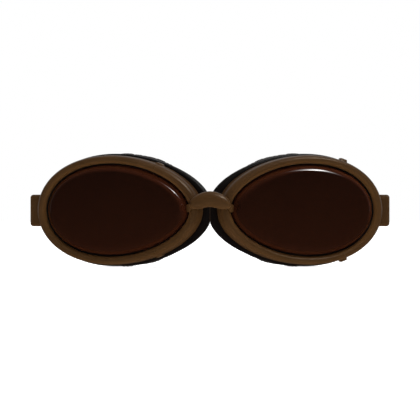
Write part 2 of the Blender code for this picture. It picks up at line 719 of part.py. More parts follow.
def side_run(side):
    """The band from its lug pin along the side of the head to the straight rear run."""
    pin_x, pin_y = strap_pin_place()
    start = Vector((side * pin_x, pin_y + STRAP_PIN_RADIUS + LOOP_CLEARANCE + STRAP_THICKNESS / 2))
    temple = Vector((side * TEMPLE_X, TEMPLE_Y))
    heading = (temple - start).normalized()
    stem = start + heading * STEM_LENGTH
    return start, stem, stem + heading * STEM_TAPER, temple, heading


def head_path(side, rear_offset):
    """Plan points and thicknesses of a band, from its lug to the end of its rear corner."""
    start, stem, single, temple, heading = side_run(side)
    rear = Vector((side * REAR_HALF_RUN, REAR_Y + rear_offset))
    corner = curve_points(temple, temple + heading * CORNER_PULL_SIDE,
                          rear + Vector((side * CORNER_PULL_REAR, 0)), rear, CORNER_STEPS)
    path = [start, stem, single, single.lerp(temple, 0.5)] + corner
    thick = [2 * STRAP_THICKNESS] * 2 + [STRAP_THICKNESS] * (len(path) - 2)
    return path, thick


def layer_offset():
    """How far a band lies off the ring's plane where it passes round the ring's bar."""
    return RING_WIRE + LOOP_CLEARANCE + STRAP_THICKNESS / 2


def make_long_strap(fabric):
    """The long band: sewn to the left lug, round the head, through the ring and folded back."""
    offset = layer_offset()
    path, thick = head_path(-1, offset)
    bar_x = RING_X - RING_HALF_LENGTH
    turns = [math.pi * k / FOLD_STEPS for k in range(FOLD_STEPS + 1)]
    path += [Vector((bar_x + offset * math.sin(turn), REAR_Y + offset * math.cos(turn)))
             for turn in turns]
    thick += [STRAP_THICKNESS] * (len(path) - len(thick))
    band = ribbon("strap_long", path, thick, fabric)
    pin_x, pin_y = strap_pin_place()
    return add_loop(band, "strap_long", -pin_x, pin_y, STRAP_PIN_RADIUS)


def make_short_strap(fabric):
    """The short band: sewn to the right lug and to the ring's near bar."""
    path, thick = head_path(1, 0)
    bar_x = RING_X + RING_HALF_LENGTH
    end = bar_x + layer_offset()
    stem_end = Vector((end + STEM_LENGTH, REAR_Y))
    path = [point for point in path if point.x > stem_end.x + STEM_TAPER]
    thick = thick[:len(path)] + [STRAP_THICKNESS] + [2 * STRAP_THICKNESS] * 2
    path += [stem_end + Vector((STEM_TAPER, 0)), stem_end, Vector((end, REAR_Y))]
    band = ribbon("strap_short", path, thick, fabric)
    pin_x, pin_y = strap_pin_place()
    add_loop(band, "strap_short_lug", pin_x, pin_y, STRAP_PIN_RADIUS)
    return add_loop(band, "strap_short_ring", bar_x, REAR_Y, RING_WIRE)


def return_centre():
    """The folded-back layer lies against the long band inside the slider."""
    return REAR_Y + layer_offset() - STRAP_THICKNESS - LAYER_GAP


def make_return_layer(fabric):
    """The layer folded back from the ring, whose end is sewn to the slider's middle bar."""
    fold_y = REAR_Y - layer_offset()
    start = Vector((RING_X - RING_HALF_LENGTH - GAP, fold_y))
    ease_end = Vector((start.x - FOLD_EASE, return_centre()))
    pull = Vector((FOLD_EASE / 2, 0))
    path = curve_points(start, start - pull, ease_end + pull, ease_end, RETURN_STEPS)
    path.append(Vector((SLIDER_X - SLIDER_BAR / 2, return_centre())))
    return ribbon("strap_return", path, [STRAP_THICKNESS] * len(path), fabric)


def make_ring(metal):
    """The rectangular wire ring that joins the two bands."""
    flat_x, flat_z = RING_HALF_LENGTH - RING_CORNER, RING_HALF_HEIGHT - RING_CORNER
    rings = []
    for corner, (sx, sz) in enumerate(((1, 1), (-1, 1), (-1, -1), (1, -1))):
        for k in range(CORNER_FACETS + 1):
            turn = math.pi / 2 * (corner + k / CORNER_FACETS)
            out = Vector((math.cos(turn), 0, math.sin(turn)))
            centre = Vector((RING_X + sx * flat_x, REAR_Y, sz * flat_z)) + out * RING_CORNER
            rings.append([centre + out * (RING_WIRE * math.cos(side * math.tau / WIRE_SIDES))
                          + Vector((0, RING_WIRE * math.sin(side * math.tau / WIRE_SIDES), 0))
                          for side in range(WIRE_SIDES)])
    return make_object("strap_ring", *join_rings(rings, True), metal)


def make_slider(metal):
    """A formed box slider: outer bars over the long band, a middle bar under the folded end."""
    half_x = SLIDER_LENGTH / 2
    channel_z = STRAP_HALF_WIDTH + GAP
    inner_y = return_centre() - STRAP_THICKNESS / 2 - GAP
    outer_y = REAR_Y + layer_offset() + STRAP_THICKNESS / 2 + GAP
    half_z = channel_z + SLIDER_WALL
    low, high = inner_y - SLIDER_WALL, outer_y + SLIDER_WALL
    slider = block("strap_slider", (SLIDER_X - half_x, low, -half_z),
                   (SLIDER_X + half_x, high, half_z), metal)
    bevel = slider.modifiers.new("rounded_edges", 'BEVEL')
    bevel.width = SLIDER_ROUND
    bevel.segments = 2
    channel = block("slider_channel", (SLIDER_X - half_x - OVERRUN, inner_y, -channel_z),
                    (SLIDER_X + half_x + OVERRUN, outer_y, channel_z))
    window = half_x - SLIDER_BAR
    outer_window = block("slider_outer_window", (SLIDER_X - window, outer_y - HAIR, -channel_z + HAIR),
                         (SLIDER_X + window, high + OVERRUN, channel_z - HAIR))
    combine(slider, channel)
    combine(slider, outer_window)
    for label, sign in (("left", -1), ("right", 1)):
        near, far = SLIDER_BAR / 2, half_x + OVERRUN
        xs = sorted((SLIDER_X + sign * near, SLIDER_X + sign * far))
        combine(slider, block(f"slider_{label}_window", (xs[0], low - OVERRUN, -channel_z + HAIR),
                              (xs[1], inner_y + HAIR, channel_z - HAIR)))
    return slider


def body_of(name):
    """The body that a piece or its cutter belongs to."""
    if "slider" in name:
        return "slider"
    sides = [label for label in SIDE_NAMES.values() if name.startswith(label)]
    return f"{sides[0]}_eyepiece" if sides and "hinge_pin" not in name else "bridge_and_strap"


def hang_bodies():
    """Each body on an empty on its joint's axis, and the whole centred on what it stands on."""
    things = list(bpy.data.objects)
    points = [vertex.co for thing in things if not thing.hide_render for vertex in thing.data.vertices]
    front, rear = min(point.y for point in points), max(point.y for point in points)
    hinge_z = (TONGUE_LOW + TONGUE_HIGH) / 2
    places = {"bridge_and_strap": (0, 0, 0), "slider": (SLIDER_X, REAR_Y, 0)}
    for side, label in SIDE_NAMES.items():
        places[f"{label}_eyepiece"] = (side * HINGE_X, 0, hinge_z)
    origin = bpy.data.objects.new("goggles", None)
    origin.location = (0, -(front + rear) / 2, -min(point.z for point in points))
    bpy.context.scene.collection.objects.link(origin)
    holders = {}
    for name, place in places.items():
        holders[name] = bpy.data.objects.new(name, None)
        holders[name].parent = origin
        holders[name].location = place
        bpy.context.scene.collection.objects.link(holders[name])
    for thing in things:
        thing.parent = holders[body_of(thing.name)]
        thing.location = -thing.parent.location


def main():
    for thing in list(bpy.data.objects):
        bpy.data.objects.remove(thing, do_unlink=True)
    bronze = paint("bronze_enamel", (0.085, 0.046, 0.022), 0.42, 0.3)
    steel = paint("dark_steel", (0.09, 0.06, 0.04), 0.4, 0.9)
    glass = paint("amber_lens", (0.030, 0.008, 0.003), 0.08, 0.0, 0.9)
    rubber = paint("black_rubber", (0.008, 0.007, 0.006), 0.6)
    shell = paint("black_shell", (0.012, 0.010, 0.009), 0.5)
    leather = paint("black_leather", (0.015, 0.011, 0.009), 0.65)
    strap = paint("brown_strap", (0.055, 0.030, 0.016), 0.75)
    make_bridge(bronze)
    for side, label in SIDE_NAMES.items():
        make_hinge_pin(side, steel)
        make_rims(side, bronze, steel)
        sweep(f"{label}_lens_seal", side, seal_section, full_turn(), rubber, closed=True)
        make_lens(side, glass)
        cup = make_cup(side, shell)
        sweep(f"{label}_cushion", side, cushion_section, full_turn(), leather, closed=True)
        make_saddle(side, bronze)
        lug = make_lug(side, bronze)
        make_rivets(side, lug, cup, steel)
        pin_x, pin_y = strap_pin_place()
        half = LUG_HALF_HEIGHT - GAP
        upright_rod(f"{label}_lug_pin", side * pin_x, pin_y, -half, half, STRAP_PIN_RADIUS, steel,
                    PIN_SIDES)
    make_long_strap(strap)
    make_short_strap(strap)
    make_return_layer(strap)
    make_ring(steel)
    make_slider(steel)
    hang_bodies()


main()
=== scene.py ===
"""Pilot goggles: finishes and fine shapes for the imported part, as an add-on run as a script."""

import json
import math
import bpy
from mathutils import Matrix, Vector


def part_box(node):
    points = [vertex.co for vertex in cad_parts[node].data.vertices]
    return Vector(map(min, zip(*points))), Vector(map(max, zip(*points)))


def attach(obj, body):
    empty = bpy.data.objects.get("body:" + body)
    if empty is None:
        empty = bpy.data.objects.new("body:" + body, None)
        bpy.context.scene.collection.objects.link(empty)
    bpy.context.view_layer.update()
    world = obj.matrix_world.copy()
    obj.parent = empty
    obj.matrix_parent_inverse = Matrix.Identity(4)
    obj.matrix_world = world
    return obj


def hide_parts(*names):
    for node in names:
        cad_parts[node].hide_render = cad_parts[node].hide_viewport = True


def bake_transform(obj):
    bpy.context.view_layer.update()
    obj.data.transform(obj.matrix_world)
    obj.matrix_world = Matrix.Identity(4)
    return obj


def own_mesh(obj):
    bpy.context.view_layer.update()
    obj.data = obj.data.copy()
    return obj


bl_info = {
    "name": "Pilot Goggles",
    "version": (1, 0, 0),
    "blender": (4, 5, 0),
    "location": "3D View > Sidebar > Goggles",
    "description": "Dresses the pilot goggles with enamel, glass, leather and webbing",
    "category": "Object",
}

import bmesh
import bpy
from bpy.props import FloatProperty, FloatVectorProperty, IntProperty, PointerProperty
from mathutils import Matrix, Vector, noise

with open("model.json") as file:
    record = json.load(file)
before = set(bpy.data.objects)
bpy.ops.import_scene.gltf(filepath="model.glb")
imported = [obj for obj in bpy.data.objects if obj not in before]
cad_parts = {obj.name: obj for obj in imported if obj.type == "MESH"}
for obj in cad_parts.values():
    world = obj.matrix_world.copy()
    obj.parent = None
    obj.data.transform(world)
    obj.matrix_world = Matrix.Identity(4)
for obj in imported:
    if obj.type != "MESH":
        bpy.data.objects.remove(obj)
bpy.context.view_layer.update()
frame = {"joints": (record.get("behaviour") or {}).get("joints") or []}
JOINTS = {joint["name"]: joint for joint in frame["joints"]}

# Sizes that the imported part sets; they repeat its own
GAP = 0.0003
PIN_GAP = 0.00015
OVERRUN = 0.002
WRAP = math.radians(17)
RIM_TO_MIDDLE = 0.005
EYE_Z = 0.00025
HALF_LENGTH = 0.04235
HALF_HEIGHT = 0.0271
EGG_SHARE = 0.103
RIM_WIDTH_TOP = 0.0042
RIM_WIDTH_NOSE = 0.0052
RIM_WIDTH_OUTER = 0.0047
RIM_CREST = 0.0038
RIM_LIP = 0.0007
RIM_WEB = 0.0012
REAR_LIP_REACH = 0.0023
REAR_LIP = 0.001
RIM_ROUND = 0.0004
CREST_SWEEP = math.radians(165)
EAR_SPLIT_SHARES = {-1: -0.49, 1: 0.53}
EAR_PROUD = {-1: 0.0008, 1: 0.0014}
EAR_LENGTH = 0.0013
EAR_SPLIT = 0.0004
EAR_SETBACK = 0.0009
CLOSING_SCREW_RADIUS = 0.00045
SEAL_LIP = 0.0006
SEAL_WALL = 0.0008
SEAL_REVEAL = 0.0004
LENS_FLANGE = 0.0014
LENS_WALL = 0.0015
LENS_ROLL_WIDTH = 0.0046
LENS_ROLL_RISE = 0.0043
LENS_DOME_RISE = 0.0008
CUP_BEAD = 0.0012
CUP_WALL = 0.0016
CUP_FLARE = 0.0009
CUP_SHOULDER = 0.0012
CUP_DEPTH = 0.0175
NOSE_SWELL = 0.0031
NOSE_SWELL_DEPTH = 0.0085
NOSE_RELIEF = 0.0074
NOSE_POWER = 6.5
CUP_SWELL_SHARES = (0.45, 0.85, 1, 0.3, 0, 0)
CUP_RELIEF_SHARES = (0, 0, 0, 0.15, 0.62, 1)
CUP_REST_SHARES = (0.3, 0.65, 1)
SEAT_WIDTH = 0.0064
SEAT_THICKNESS = 0.0012
CUSHION_DEPTH = 0.007
CUSHION_HALF_WIDTH = 0.0035
HINGE_X = 0.007
BRIDGE_HALF_LENGTH = 0.0102
BRIDGE_SPRING_Z = 0.003
BRIDGE_ARCH_RISE = 0.0065
BRIDGE_ARCH_POWER = 1.8
BRIDGE_HALF_DEPTH = 0.0034
BRIDGE_BELLY = 0.0026
BRIDGE_BELLY_MIDDLE = 0.0013
BRIDGE_END_POWER = 4
TONGUE_RADIUS = 0.002
TONGUE_DROP = 0.0008
TONGUE_HEIGHT = 0.0024
TONGUE_WEB = 0.0026
HINGE_PIN_RADIUS = 0.0008
HINGE_PIN_SUNK = 0.00035
SADDLE_THICKNESS = 0.0011
SADDLE_TOP_DROP = 0.00035
SADDLE_BAND_DROP = 0.0013
SADDLE_PAD_DROP = 0.00225
SADDLE_START = math.radians(-8)
SADDLE_END = math.radians(148)
LUG_REACH = 0.0043
LUG_SIDE_ROOM = 0.00035
LUG_FRONT_DEPTH = 0.008
LUG_PLATE = 0.003
LUG_ARM = 0.0014
LUG_BEVEL = 0.0016
LUG_FOOT = 0.0017
LUG_FOOT_REAR = 0.0145
LUG_INSET = 0.0056
RIVET_RADIUS = 0.0008
RIVET_HEAD = 0.0013
RIVET_EDGE = 0.0008
RIVET_DOME = 0.0006
STRAP_PIN_RADIUS = 0.001
LOOP_ROOM = 0.0042
LOOP_INSET = 0.0005
STRAP_HALF_WIDTH = 0.00625
STRAP_THICKNESS = 0.0015
LOOP_CLEARANCE = 0.0003
STEM_LENGTH = 0.014
TEMPLE = (0.080, 0.112)
REAR_Y = 0.192
REAR_HALF_RUN = 0.038
CORNER_PULL_SIDE = 0.046
CORNER_PULL_REAR = 0.026
RING_X = 0.014
RING_HALF_LENGTH = 0.005
RING_SIDE_ROOM = 0.00065
RING_WIRE = 0.0009
RING_CORNER = 0.002
SLIDER_X = -0.024
SLIDER_LENGTH = 0.016
SLIDER_WALL = 0.0011
SLIDER_BAR = 0.0035
LAYER_GAP = 0.0004
FOLD_EASE = 0.012

# Sizes of the finer shapes, which only the scene has
NOSE_GAP = 0.0001
WELD = 0.00005
CREST_STEPS = 22
CHANNEL_ROUND = 0.00015
EAR_ROUND = 0.00025
SPLIT_LINE = 0.00006
EAR_TAPER = ((0.0, 0.0, 0.96), (0.0, 0.00003, 1.0), (0.0, 0.0001, 1.0), (EAR_LENGTH, -0.0003, 1.0),
             (EAR_LENGTH, -0.0001, 0.9), (EAR_LENGTH, 0.0, 0.72), (EAR_LENGTH, 0.0001, 0.35),
             (EAR_LENGTH, 0.0003, 0.08), (EAR_LENGTH, 0.0006, 0.0))
# Section points where the painted light on the rim's inner side begins, and how many it runs over
PAINTED_LIGHT_FLANK_START, PAINTED_LIGHT_FLANK_RUN = 12, 8
LENS_ROLL_START = math.radians(70)
LENS_ROLL_END = math.radians(5)
ROLL_STEPS, DOME_STEPS, BACK_STEPS = 22, 30, 12
CENTRE_SHARE = 0.01
SEAT_ROUND = 0.0004
CUSHION_SEAM = 0.26
CUSHION_START = 0.92
CUSHION_SLACK = 0.0005
CUSHION_STATIONS = 400
CUSHION_HALF_SECTION = ((0.55, -0.01), (0.8, 0.03), (0.93, 0.12), (0.98, CUSHION_SEAM), (1.0, 0.4),
                        (0.96, 0.56), (0.86, 0.72), (0.69, 0.86), (0.47, 0.95), (0.22, 0.99))
CLOTH_SCALE = 40.0
CLOTH_MASS = 0.02
CLOTH_PRESSURE = 20.0
CLOTH_GROWTH = 0.06
CLOTH_BENDING = 0.5
CLOTH_FRAMES = 20
CLOTH_CAP = 0.0009
SADDLE_COLUMNS, SADDLE_ROWS = 30, 12
SADDLE_PAD_START = math.radians(100)
SADDLE_PAD_EASE = math.radians(16)
SADDLE_REAR_CORNER = (math.radians(24), 0.0013)
SADDLE_NOSE_CORNER = (math.radians(12), 0.0005)
BRIDGE_STEPS, BRIDGE_SIDES = 72, 48
BRIDGE_END_TURN = math.radians(88.5)
SELVEDGE = 0.00045
SELVEDGE_EASE = 0.0012
SELVEDGE_EDGE = ((0.0, 0.0), (0.00005, 0.5), (0.0002, 0.82))
BAND_COLUMNS = 22
SEWN_GAP = 0.00003
LOOP_CLOSING = 0.0055
BOX_STITCH_START, BOX_STITCH_LENGTH, BOX_STITCH_WIDTH = 0.0075, 0.0072, 0.0092
THREAD_LIFT = 0.00002
BLEND_START = (0.075, 0.165)
HALVINGS = 40
EYE_PLANE = 0.028
CAMERA_LIFT = 0.00025
FLOOR_REACH = 6.0
FLOOR_DROP = 0.0002
SHARP = math.radians(40)
UP = (0, 0, 1)
WHITE = (1, 1, 1, 1)

COS_WRAP, SIN_WRAP = math.cos(WRAP), math.sin(WRAP)
SIDE_NAMES = {-1: "left", 1: "right"}

# Where the layout's own zero lies in the frame: between the hinge axes, at eye height
ORIGIN = Vector((0, JOINTS["left_eyepiece_hinge"]["pos_m"][1],
                 sum(corner.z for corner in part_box("strap_ring")) / 2))

# Depths along the eyepiece's axis, forward positive
SEAL_FRONT = RIM_LIP - GAP
LENS_FRONT = SEAL_FRONT - SEAL_LIP - GAP
LENS_BACK = LENS_FRONT - LENS_FLANGE
SEAL_BACK = LENS_BACK - GAP - SEAL_LIP
BEAD_FRONT = SEAL_BACK - GAP
BEAD_BACK = BEAD_FRONT - CUP_BEAD
RIM_LIP_BACK = BEAD_BACK - GAP
RIM_BACK = RIM_LIP_BACK - REAR_LIP
CUP_SHOULDER_FRONT = RIM_BACK - GAP
EAR_FRONT = -EAR_SETBACK
EAR_REAR = RIM_LIP_BACK + GAP

# Sizes and places that follow from the ones above
CHANNEL_INSET = RIM_WEB + GAP
LENS_INSET = CHANNEL_INSET + SEAL_WALL + GAP
NECK_INSET = REAR_LIP_REACH + GAP
MEAN_RADIUS = math.sqrt(HALF_LENGTH * HALF_HEIGHT)
TONGUE_LOW = BRIDGE_SPRING_Z - TONGUE_DROP
TONGUE_HIGH = TONGUE_LOW + TONGUE_HEIGHT
SADDLE_HIGH = TONGUE_HIGH - SADDLE_TOP_DROP
SADDLE_BAND_LOW = TONGUE_LOW - SADDLE_BAND_DROP
HINGE_TO_SADDLE = BRIDGE_HALF_DEPTH + GAP
LOOP_RADIUS = STRAP_PIN_RADIUS + LOOP_CLEARANCE + STRAP_THICKNESS
LUG_SLOT_HALF_HEIGHT = STRAP_HALF_WIDTH + LUG_SIDE_ROOM
LUG_HALF_HEIGHT = LUG_SLOT_HALF_HEIGHT + LUG_ARM
RIVET_HEIGHT = LUG_SLOT_HALF_HEIGHT - RIVET_HEAD - RIVET_EDGE
RIVET_DEPTH = (LUG_FRONT_DEPTH + LUG_PLATE + LUG_FOOT_REAR) / 2
RING_HALF_HEIGHT = STRAP_HALF_WIDTH + RING_WIRE + RING_SIDE_ROOM
LAYER_OFFSET = RING_WIRE + LOOP_CLEARANCE + STRAP_THICKNESS / 2
RETURN_CENTRE = REAR_Y + LAYER_OFFSET - STRAP_THICKNESS - LAYER_GAP
EYE_X = RIM_TO_MIDDLE + HALF_LENGTH * COS_WRAP
EYE_Y = (HINGE_TO_SADDLE + SADDLE_THICKNESS + GAP + RIM_CREST * COS_WRAP
         + (HALF_LENGTH - RIM_WIDTH_NOSE / 2) * SIN_WRAP)


# Settings

def length_property(name, description, default, low, high):
    return FloatProperty(name=name, description=description, default=default, min=low, max=high,
                         subtype='DISTANCE', unit='LENGTH', precision=5)


def colour_property(name, description, default):
    return FloatVectorProperty(name=name, description=description, default=default, size=3,
                               min=0.0, max=1.0, subtype='COLOR')


class GogglesSizes(bpy.types.PropertyGroup):
    """Lengths and counts that a user may change."""

    ring_steps: IntProperty(
        name="Stations", description="Stations round each eyepiece", default=240, min=60, max=480)
    edge_round: length_property(
        "Edge Round", "Round on the edges of the saddles and the slider", 0.0003, 0.0, 0.0005)
    stitch_pitch: length_property(
        "Stitch Pitch", "Distance from one stitch to the next", 0.0019, 0.0008, 0.006)
    thread_radius: length_property(
        "Thread Radius", "Radius of the sewing thread", 0.00017, 0.00005, 0.0005)
    cushion_seam: length_property(
        "Cushion Seam Depth", "How far the cushion's seam is drawn in", 0.00045, 0.0, 0.0015)
    rib_pitch: length_property(
        "Rib Pitch", "Distance between the cross ribs of the webbing", 0.0011, 0.0004, 0.004)
    rib_height: length_property(
        "Rib Height", "How far a cross rib stands out", 0.00006, 0.0, 0.0004)
    camera_distance: length_property(
        "Camera Distance", "From the camera to the plane of the eyepieces", 1.6, 0.3, 5.0)
    view_width: length_property(
        "View Width", "Width that the camera sees at that plane", 0.21, 0.1, 1.0)


class GogglesColours(bpy.types.PropertyGroup):
    """Colours that a user may change."""

    enamel: colour_property("Bronze Enamel", "Rims, bridge and lugs", (0.0405, 0.0187, 0.0061))
    bare: colour_property("Worn Edge", "Metal where the enamel has thinned", (0.21, 0.13, 0.07))
    steel: colour_property("Dark Steel", "Pins, rivets, ring and slider", (0.16, 0.125, 0.095))
    glass: colour_property("Lens", "The tinted lens", (0.0078, 0.002, 0.00075))
    # Painted light: the colour of the light painted into the lens's rolled edge
    painted_edge_light: colour_property("Lens Edge", "Warmer tint in the lens's rolled edge",
                               (0.05, 0.0124, 0.0052))
    rubber: colour_property("Seal", "The lens gasket", (0.006, 0.005, 0.0045))
    shell: colour_property("Eyecup", "The moulded eyecup", (0.0028, 0.0018, 0.0015))
    leather: colour_property("Cushion", "The face cushion's leather", (0.016, 0.0115, 0.009))
    webbing: colour_property("Strap", "The woven strap", (0.062, 0.034, 0.018))
    thread: colour_property("Thread", "Sewing thread", (0.12, 0.075, 0.042))
    floor: colour_property("Floor", "Floor and backdrop", (0.78, 0.78, 0.78))


# Node helpers

def shade_of(colour, factor):
    return tuple(min(1.0, channel * factor) for channel in colour)


class Nodes:
    """Adds nodes to one tree; a value that is another node's socket is linked."""

    def __init__(self, tree):
        self.tree = tree

    def set(self, socket, value):
        if isinstance(value, bpy.types.NodeSocket):
            self.tree.links.new(value, socket)
        else:
            socket.default_value = value

    def add(self, kind, values, output=0, **settings):
        made = self.tree.nodes.new(f"ShaderNode{kind}")
        for key, value in settings.items():
            setattr(made, key, value)
        for key, value in values.items():
            self.set(made.inputs[key], value)
        return made.outputs[output]

    def maths(self, operation, first, second=0.0):
        return self.add("Math", {0: first, 1: second}, operation=operation)

    def total(self, *terms):
        """The sum of values, each times its weight."""
        result = 0.0
        for value, weight in terms:
            result = self.add("Math", {0: value, 1: weight, 2: result}, operation='MULTIPLY_ADD')
        return result

    def stretch(self, value, low, high, to_low=0.0, to_high=1.0):
        """A value's range mapped on to another."""
        return self.add("MapRange", {"Value": value, "From Min": low, "From Max": high,
                                     "To Min": to_low, "To Max": to_high})

    def blend(self, share, *colours):
        """A mix of two colours."""
        first, second = (colour if isinstance(colour, bpy.types.NodeSocket) else (*colour[:3], 1.0)
                         for colour in colours)
        return self.add("Mix", {0: share, 6: first, 7: second}, 2, data_type='RGBA')

    def axis(self, vector, number):
        return self.add("SeparateXYZ", {0: vector}, number)

    def mirror_ray(self):
        """1 for what a glossy or clear surface shows of the stage."""
        return self.maths('MAXIMUM', *(self.add("LightPath", {}, f"Is {kind} Ray")
                                       for kind in ("Glossy", "Transmission")))

    def camera_ray(self):
        return self.add("LightPath", {}, "Is Camera Ray")


class Finish(Nodes):
    """A material; its even values are set on the shader's own sockets."""

    def __init__(self, name, **sockets):
        self.material = bpy.data.materials.new(f"{name}_finish")
        self.material.use_nodes = True
        super().__init__(self.material.node_tree)
        self.shader = self.tree.nodes["Principled BSDF"]
        for key, value in sockets.items():
            self.shader.inputs[key.replace("_", " ")].default_value = value
        self.place = self.add("TexCoord", {}, "Object")

    def mark(self, number):
        """One of the marks that each point of a piece carries for its finish."""
        return self.axis(self.add("Attribute", {}, "Vector", attribute_name="marks"), number)

    def grain(self, scale, detail=4.0, roughness=0.55, place=None):
        return self.add("TexNoise", {"Vector": self.place if place is None else place,
                                     "Scale": scale, "Detail": detail, "Roughness": roughness})

    def streaks(self, scale, rotation, detail, roughness):
        """Grain drawn out along one direction."""
        drawn = self.add("Mapping", {"Vector": self.place, "Rotation": rotation, "Scale": scale})
        return self.grain(1.0, detail, roughness, drawn)

    def ripple(self, value, pitch):
        """A wave from 0 to 1 with the given pitch in metres."""
        turn = self.maths('MULTIPLY', value, math.tau / pitch)
        return self.stretch(self.maths('SINE', turn), -1.0, 1.0)

    def tones(self, colour, value, low, high, dark, light, *layers):
        """A colour shaded by a value, with layers of (value, low, high, most, shade) over it."""
        tone = self.blend(self.stretch(value, low, high), shade_of(colour, dark),
                          shade_of(colour, light))
        for over, start, end, most, shade in layers:
            tone = self.blend(self.stretch(over, start, end, 0.0, most), tone,
                              shade_of(colour, shade))
        return tone

    def dress(self, tone, gloss, height=None, depth=0.0):
        """Set colour, roughness and, from a height field, a relief of the given depth in metres."""
        values = {"Base Color": tone, "Roughness": gloss}
        if height is not None:
            values["Normal"] = self.add("Bump", {"Height": height, "Distance": depth})
        for key, value in values.items():
            self.set(self.shader.inputs[key], value)


# Finishes

def make_enamel(colours):
    """Satin bronze enamel: mottling, orange peel, scratches, thin spots on edges, painted light on
    the rims' inner side.
    """
    enamel = Finish("bronze_enamel", Specular_IOR_Level=0.19, Specular_Tint=(1.0, 0.8, 0.6, 1.0))
    broad, fine = enamel.grain(55.0, 3.0), enamel.grain(900.0, 3.0, 0.6)
    drawn = enamel.streaks((140.0, 2600.0, 2600.0), (0.35, 0.5, 0.6), 2.0, 0.6)
    scratches = enamel.stretch(drawn, 0.66, 0.74)
    painted_light_flank, rubbed = enamel.mark(0), enamel.mark(1)
    thin = enamel.stretch(enamel.grain(420.0, 5.0, 0.7), 0.42, 0.62)
    tone = enamel.tones(colours.enamel, broad, 0.3, 0.7, 0.86, 1.16, (fine, 0.45, 0.85, 0.28, 1.5))
    # Painted light: the rim's inner side is painted twice as light, in place of the light from
    # below that would reach it
    tone = enamel.blend(painted_light_flank, tone, shade_of(colours.enamel, 2.0))
    for spots, share in ((scratches, 0.22), (rubbed, thin)):
        tone = enamel.blend(enamel.maths('MULTIPLY', spots, share), tone, colours.bare)
    gloss = enamel.total((enamel.stretch(broad, 0.3, 0.7, 0.29, 0.36), 1.0), (scratches, 0.12))
    enamel.dress(tone, gloss, enamel.total((fine, 0.6), (scratches, -0.5)), 0.00003)


def make_steel(colours):
    """Dark brushed steel with a few darker patches."""
    steel = Finish("dark_steel", Metallic=0.9, Anisotropic=0.3)
    lines = steel.streaks((3200.0, 3200.0, 220.0), (0.0, 0.0, 0.0), 3.0, 0.65)
    tone = steel.tones(colours.steel, lines, 0.3, 0.7, 0.72, 1.25,
                       (steel.grain(320.0), 0.58, 0.74, 0.5, 0.45))
    steel.dress(tone, steel.stretch(lines, 0.25, 0.75, 0.28, 0.46), lines, 0.000015)


def make_glass(colours):
    """Dark tinted lens: painted shade darker towards the top, painted light in its rolled edge,
    faint wipe marks.
    """
    glass = Finish("amber_lens", IOR=1.5)
    middle = ORIGIN.z + EYE_Z
    # Painted shade: darker towards the top and lighter towards the bottom, in place of the light
    # from below
    rise = glass.stretch(glass.axis(glass.place, 2), middle - HALF_HEIGHT, middle + HALF_HEIGHT)
    cloud = glass.stretch(glass.grain(45.0, 2.0), 0.3, 0.7, -0.05, 0.05)
    tone = glass.blend(glass.maths('ADD', rise, cloud), shade_of(colours.glass, 1.35),
                       shade_of(colours.glass, 0.62))
    # Painted light: colour that lights the rolled edge, mostly at the top and to the right, where
    # the lamp's light falls
    tone = glass.blend(glass.mark(0), tone, colours.painted_edge_light)
    wiped = glass.streaks((60.0, 120.0, 320.0), (0.0, 0.5, 0.0), 2.0, 0.5)
    glass.dress(tone, glass.stretch(wiped, 0.45, 0.75, 0.04, 0.06))


def make_black(name, colour, roughness, scale, depth):
    """Moulded black rubber or shell: fine spark-eroded grain and a few dusty, paler patches."""
    black = Finish(name, Specular_IOR_Level=0.2)
    fine, broad = black.grain(scale, 3.0, 0.6), black.grain(80.0)
    tone = black.tones(colour, broad, 0.35, 0.7, 0.8, 1.35, (fine, 0.55, 0.85, 0.35, 2.6))
    gloss = black.stretch(broad, 0.3, 0.7, roughness - 0.06, roughness + 0.08)
    black.dress(tone, gloss, fine, depth)


def make_leather(colours):
    """Fine-grained leather: pebbled cells, creases and worn, smoother crowns."""
    leather = Finish("black_leather", Specular_IOR_Level=0.4, Sheen_Weight=0.06)
    drift = leather.add("TexNoise", {"Vector": leather.place, "Scale": 700.0}, "Color")
    drift = leather.add("VectorMath", {0: drift, 1: (0.0004, 0.0004, 0.0004)}, operation='MULTIPLY')
    warped = leather.add("VectorMath", {0: leather.place, 1: drift})
    cells = leather.add("TexVoronoi", {"Vector": warped, "Scale": 1250.0}, "Distance",
                        feature='DISTANCE_TO_EDGE')
    pebble, crease = leather.stretch(cells, 0.0, 0.32), leather.grain(240.0, 5.0, 0.62)
    tone = leather.tones(colours.leather, pebble, 0.0, 1.0, 0.45, 1.25,
                         (crease, 0.5, 0.75, 0.4, 2.2))
    gloss = leather.stretch(crease, 0.3, 0.7, 0.6, 0.42)
    leather.dress(tone, gloss, leather.total((pebble, 1.0), (crease, 1.6)), 0.00007)


def make_webbing(colours, sizes):
    """Woven elastic: warp ribs crossed by weft picks, darker between the yarns."""
    webbing = Finish("brown_strap", Specular_IOR_Level=0.25, Sheen_Weight=0.12, Sheen_Roughness=0.4)
    along, across = webbing.mark(0), webbing.mark(1)
    warp, picks = webbing.ripple(across, 0.00089), webbing.ripple(along, sizes.rib_pitch)
    stepped = webbing.total((along, 1.0), (warp, sizes.rib_pitch * 0.5))
    twill = webbing.ripple(stepped, sizes.rib_pitch)
    yarn = webbing.maths('MULTIPLY', webbing.maths('ADD', warp, 0.35),
                         webbing.maths('ADD', twill, 0.4))
    fuzz, worn = webbing.grain(2400.0, 3.0, 0.7), webbing.grain(110.0)
    tone = webbing.tones(colours.webbing, yarn, 0.1, 1.2, 0.4, 1.25, (fuzz, 0.5, 0.8, 0.4, 1.9),
                         (worn, 0.45, 0.75, 0.35, 0.7))
    gloss = webbing.stretch(fuzz, 0.3, 0.7, 0.72, 0.9)
    webbing.dress(tone, gloss, webbing.total((yarn, 0.8), (fuzz, 0.5), (picks, 0.3)), 0.00012)


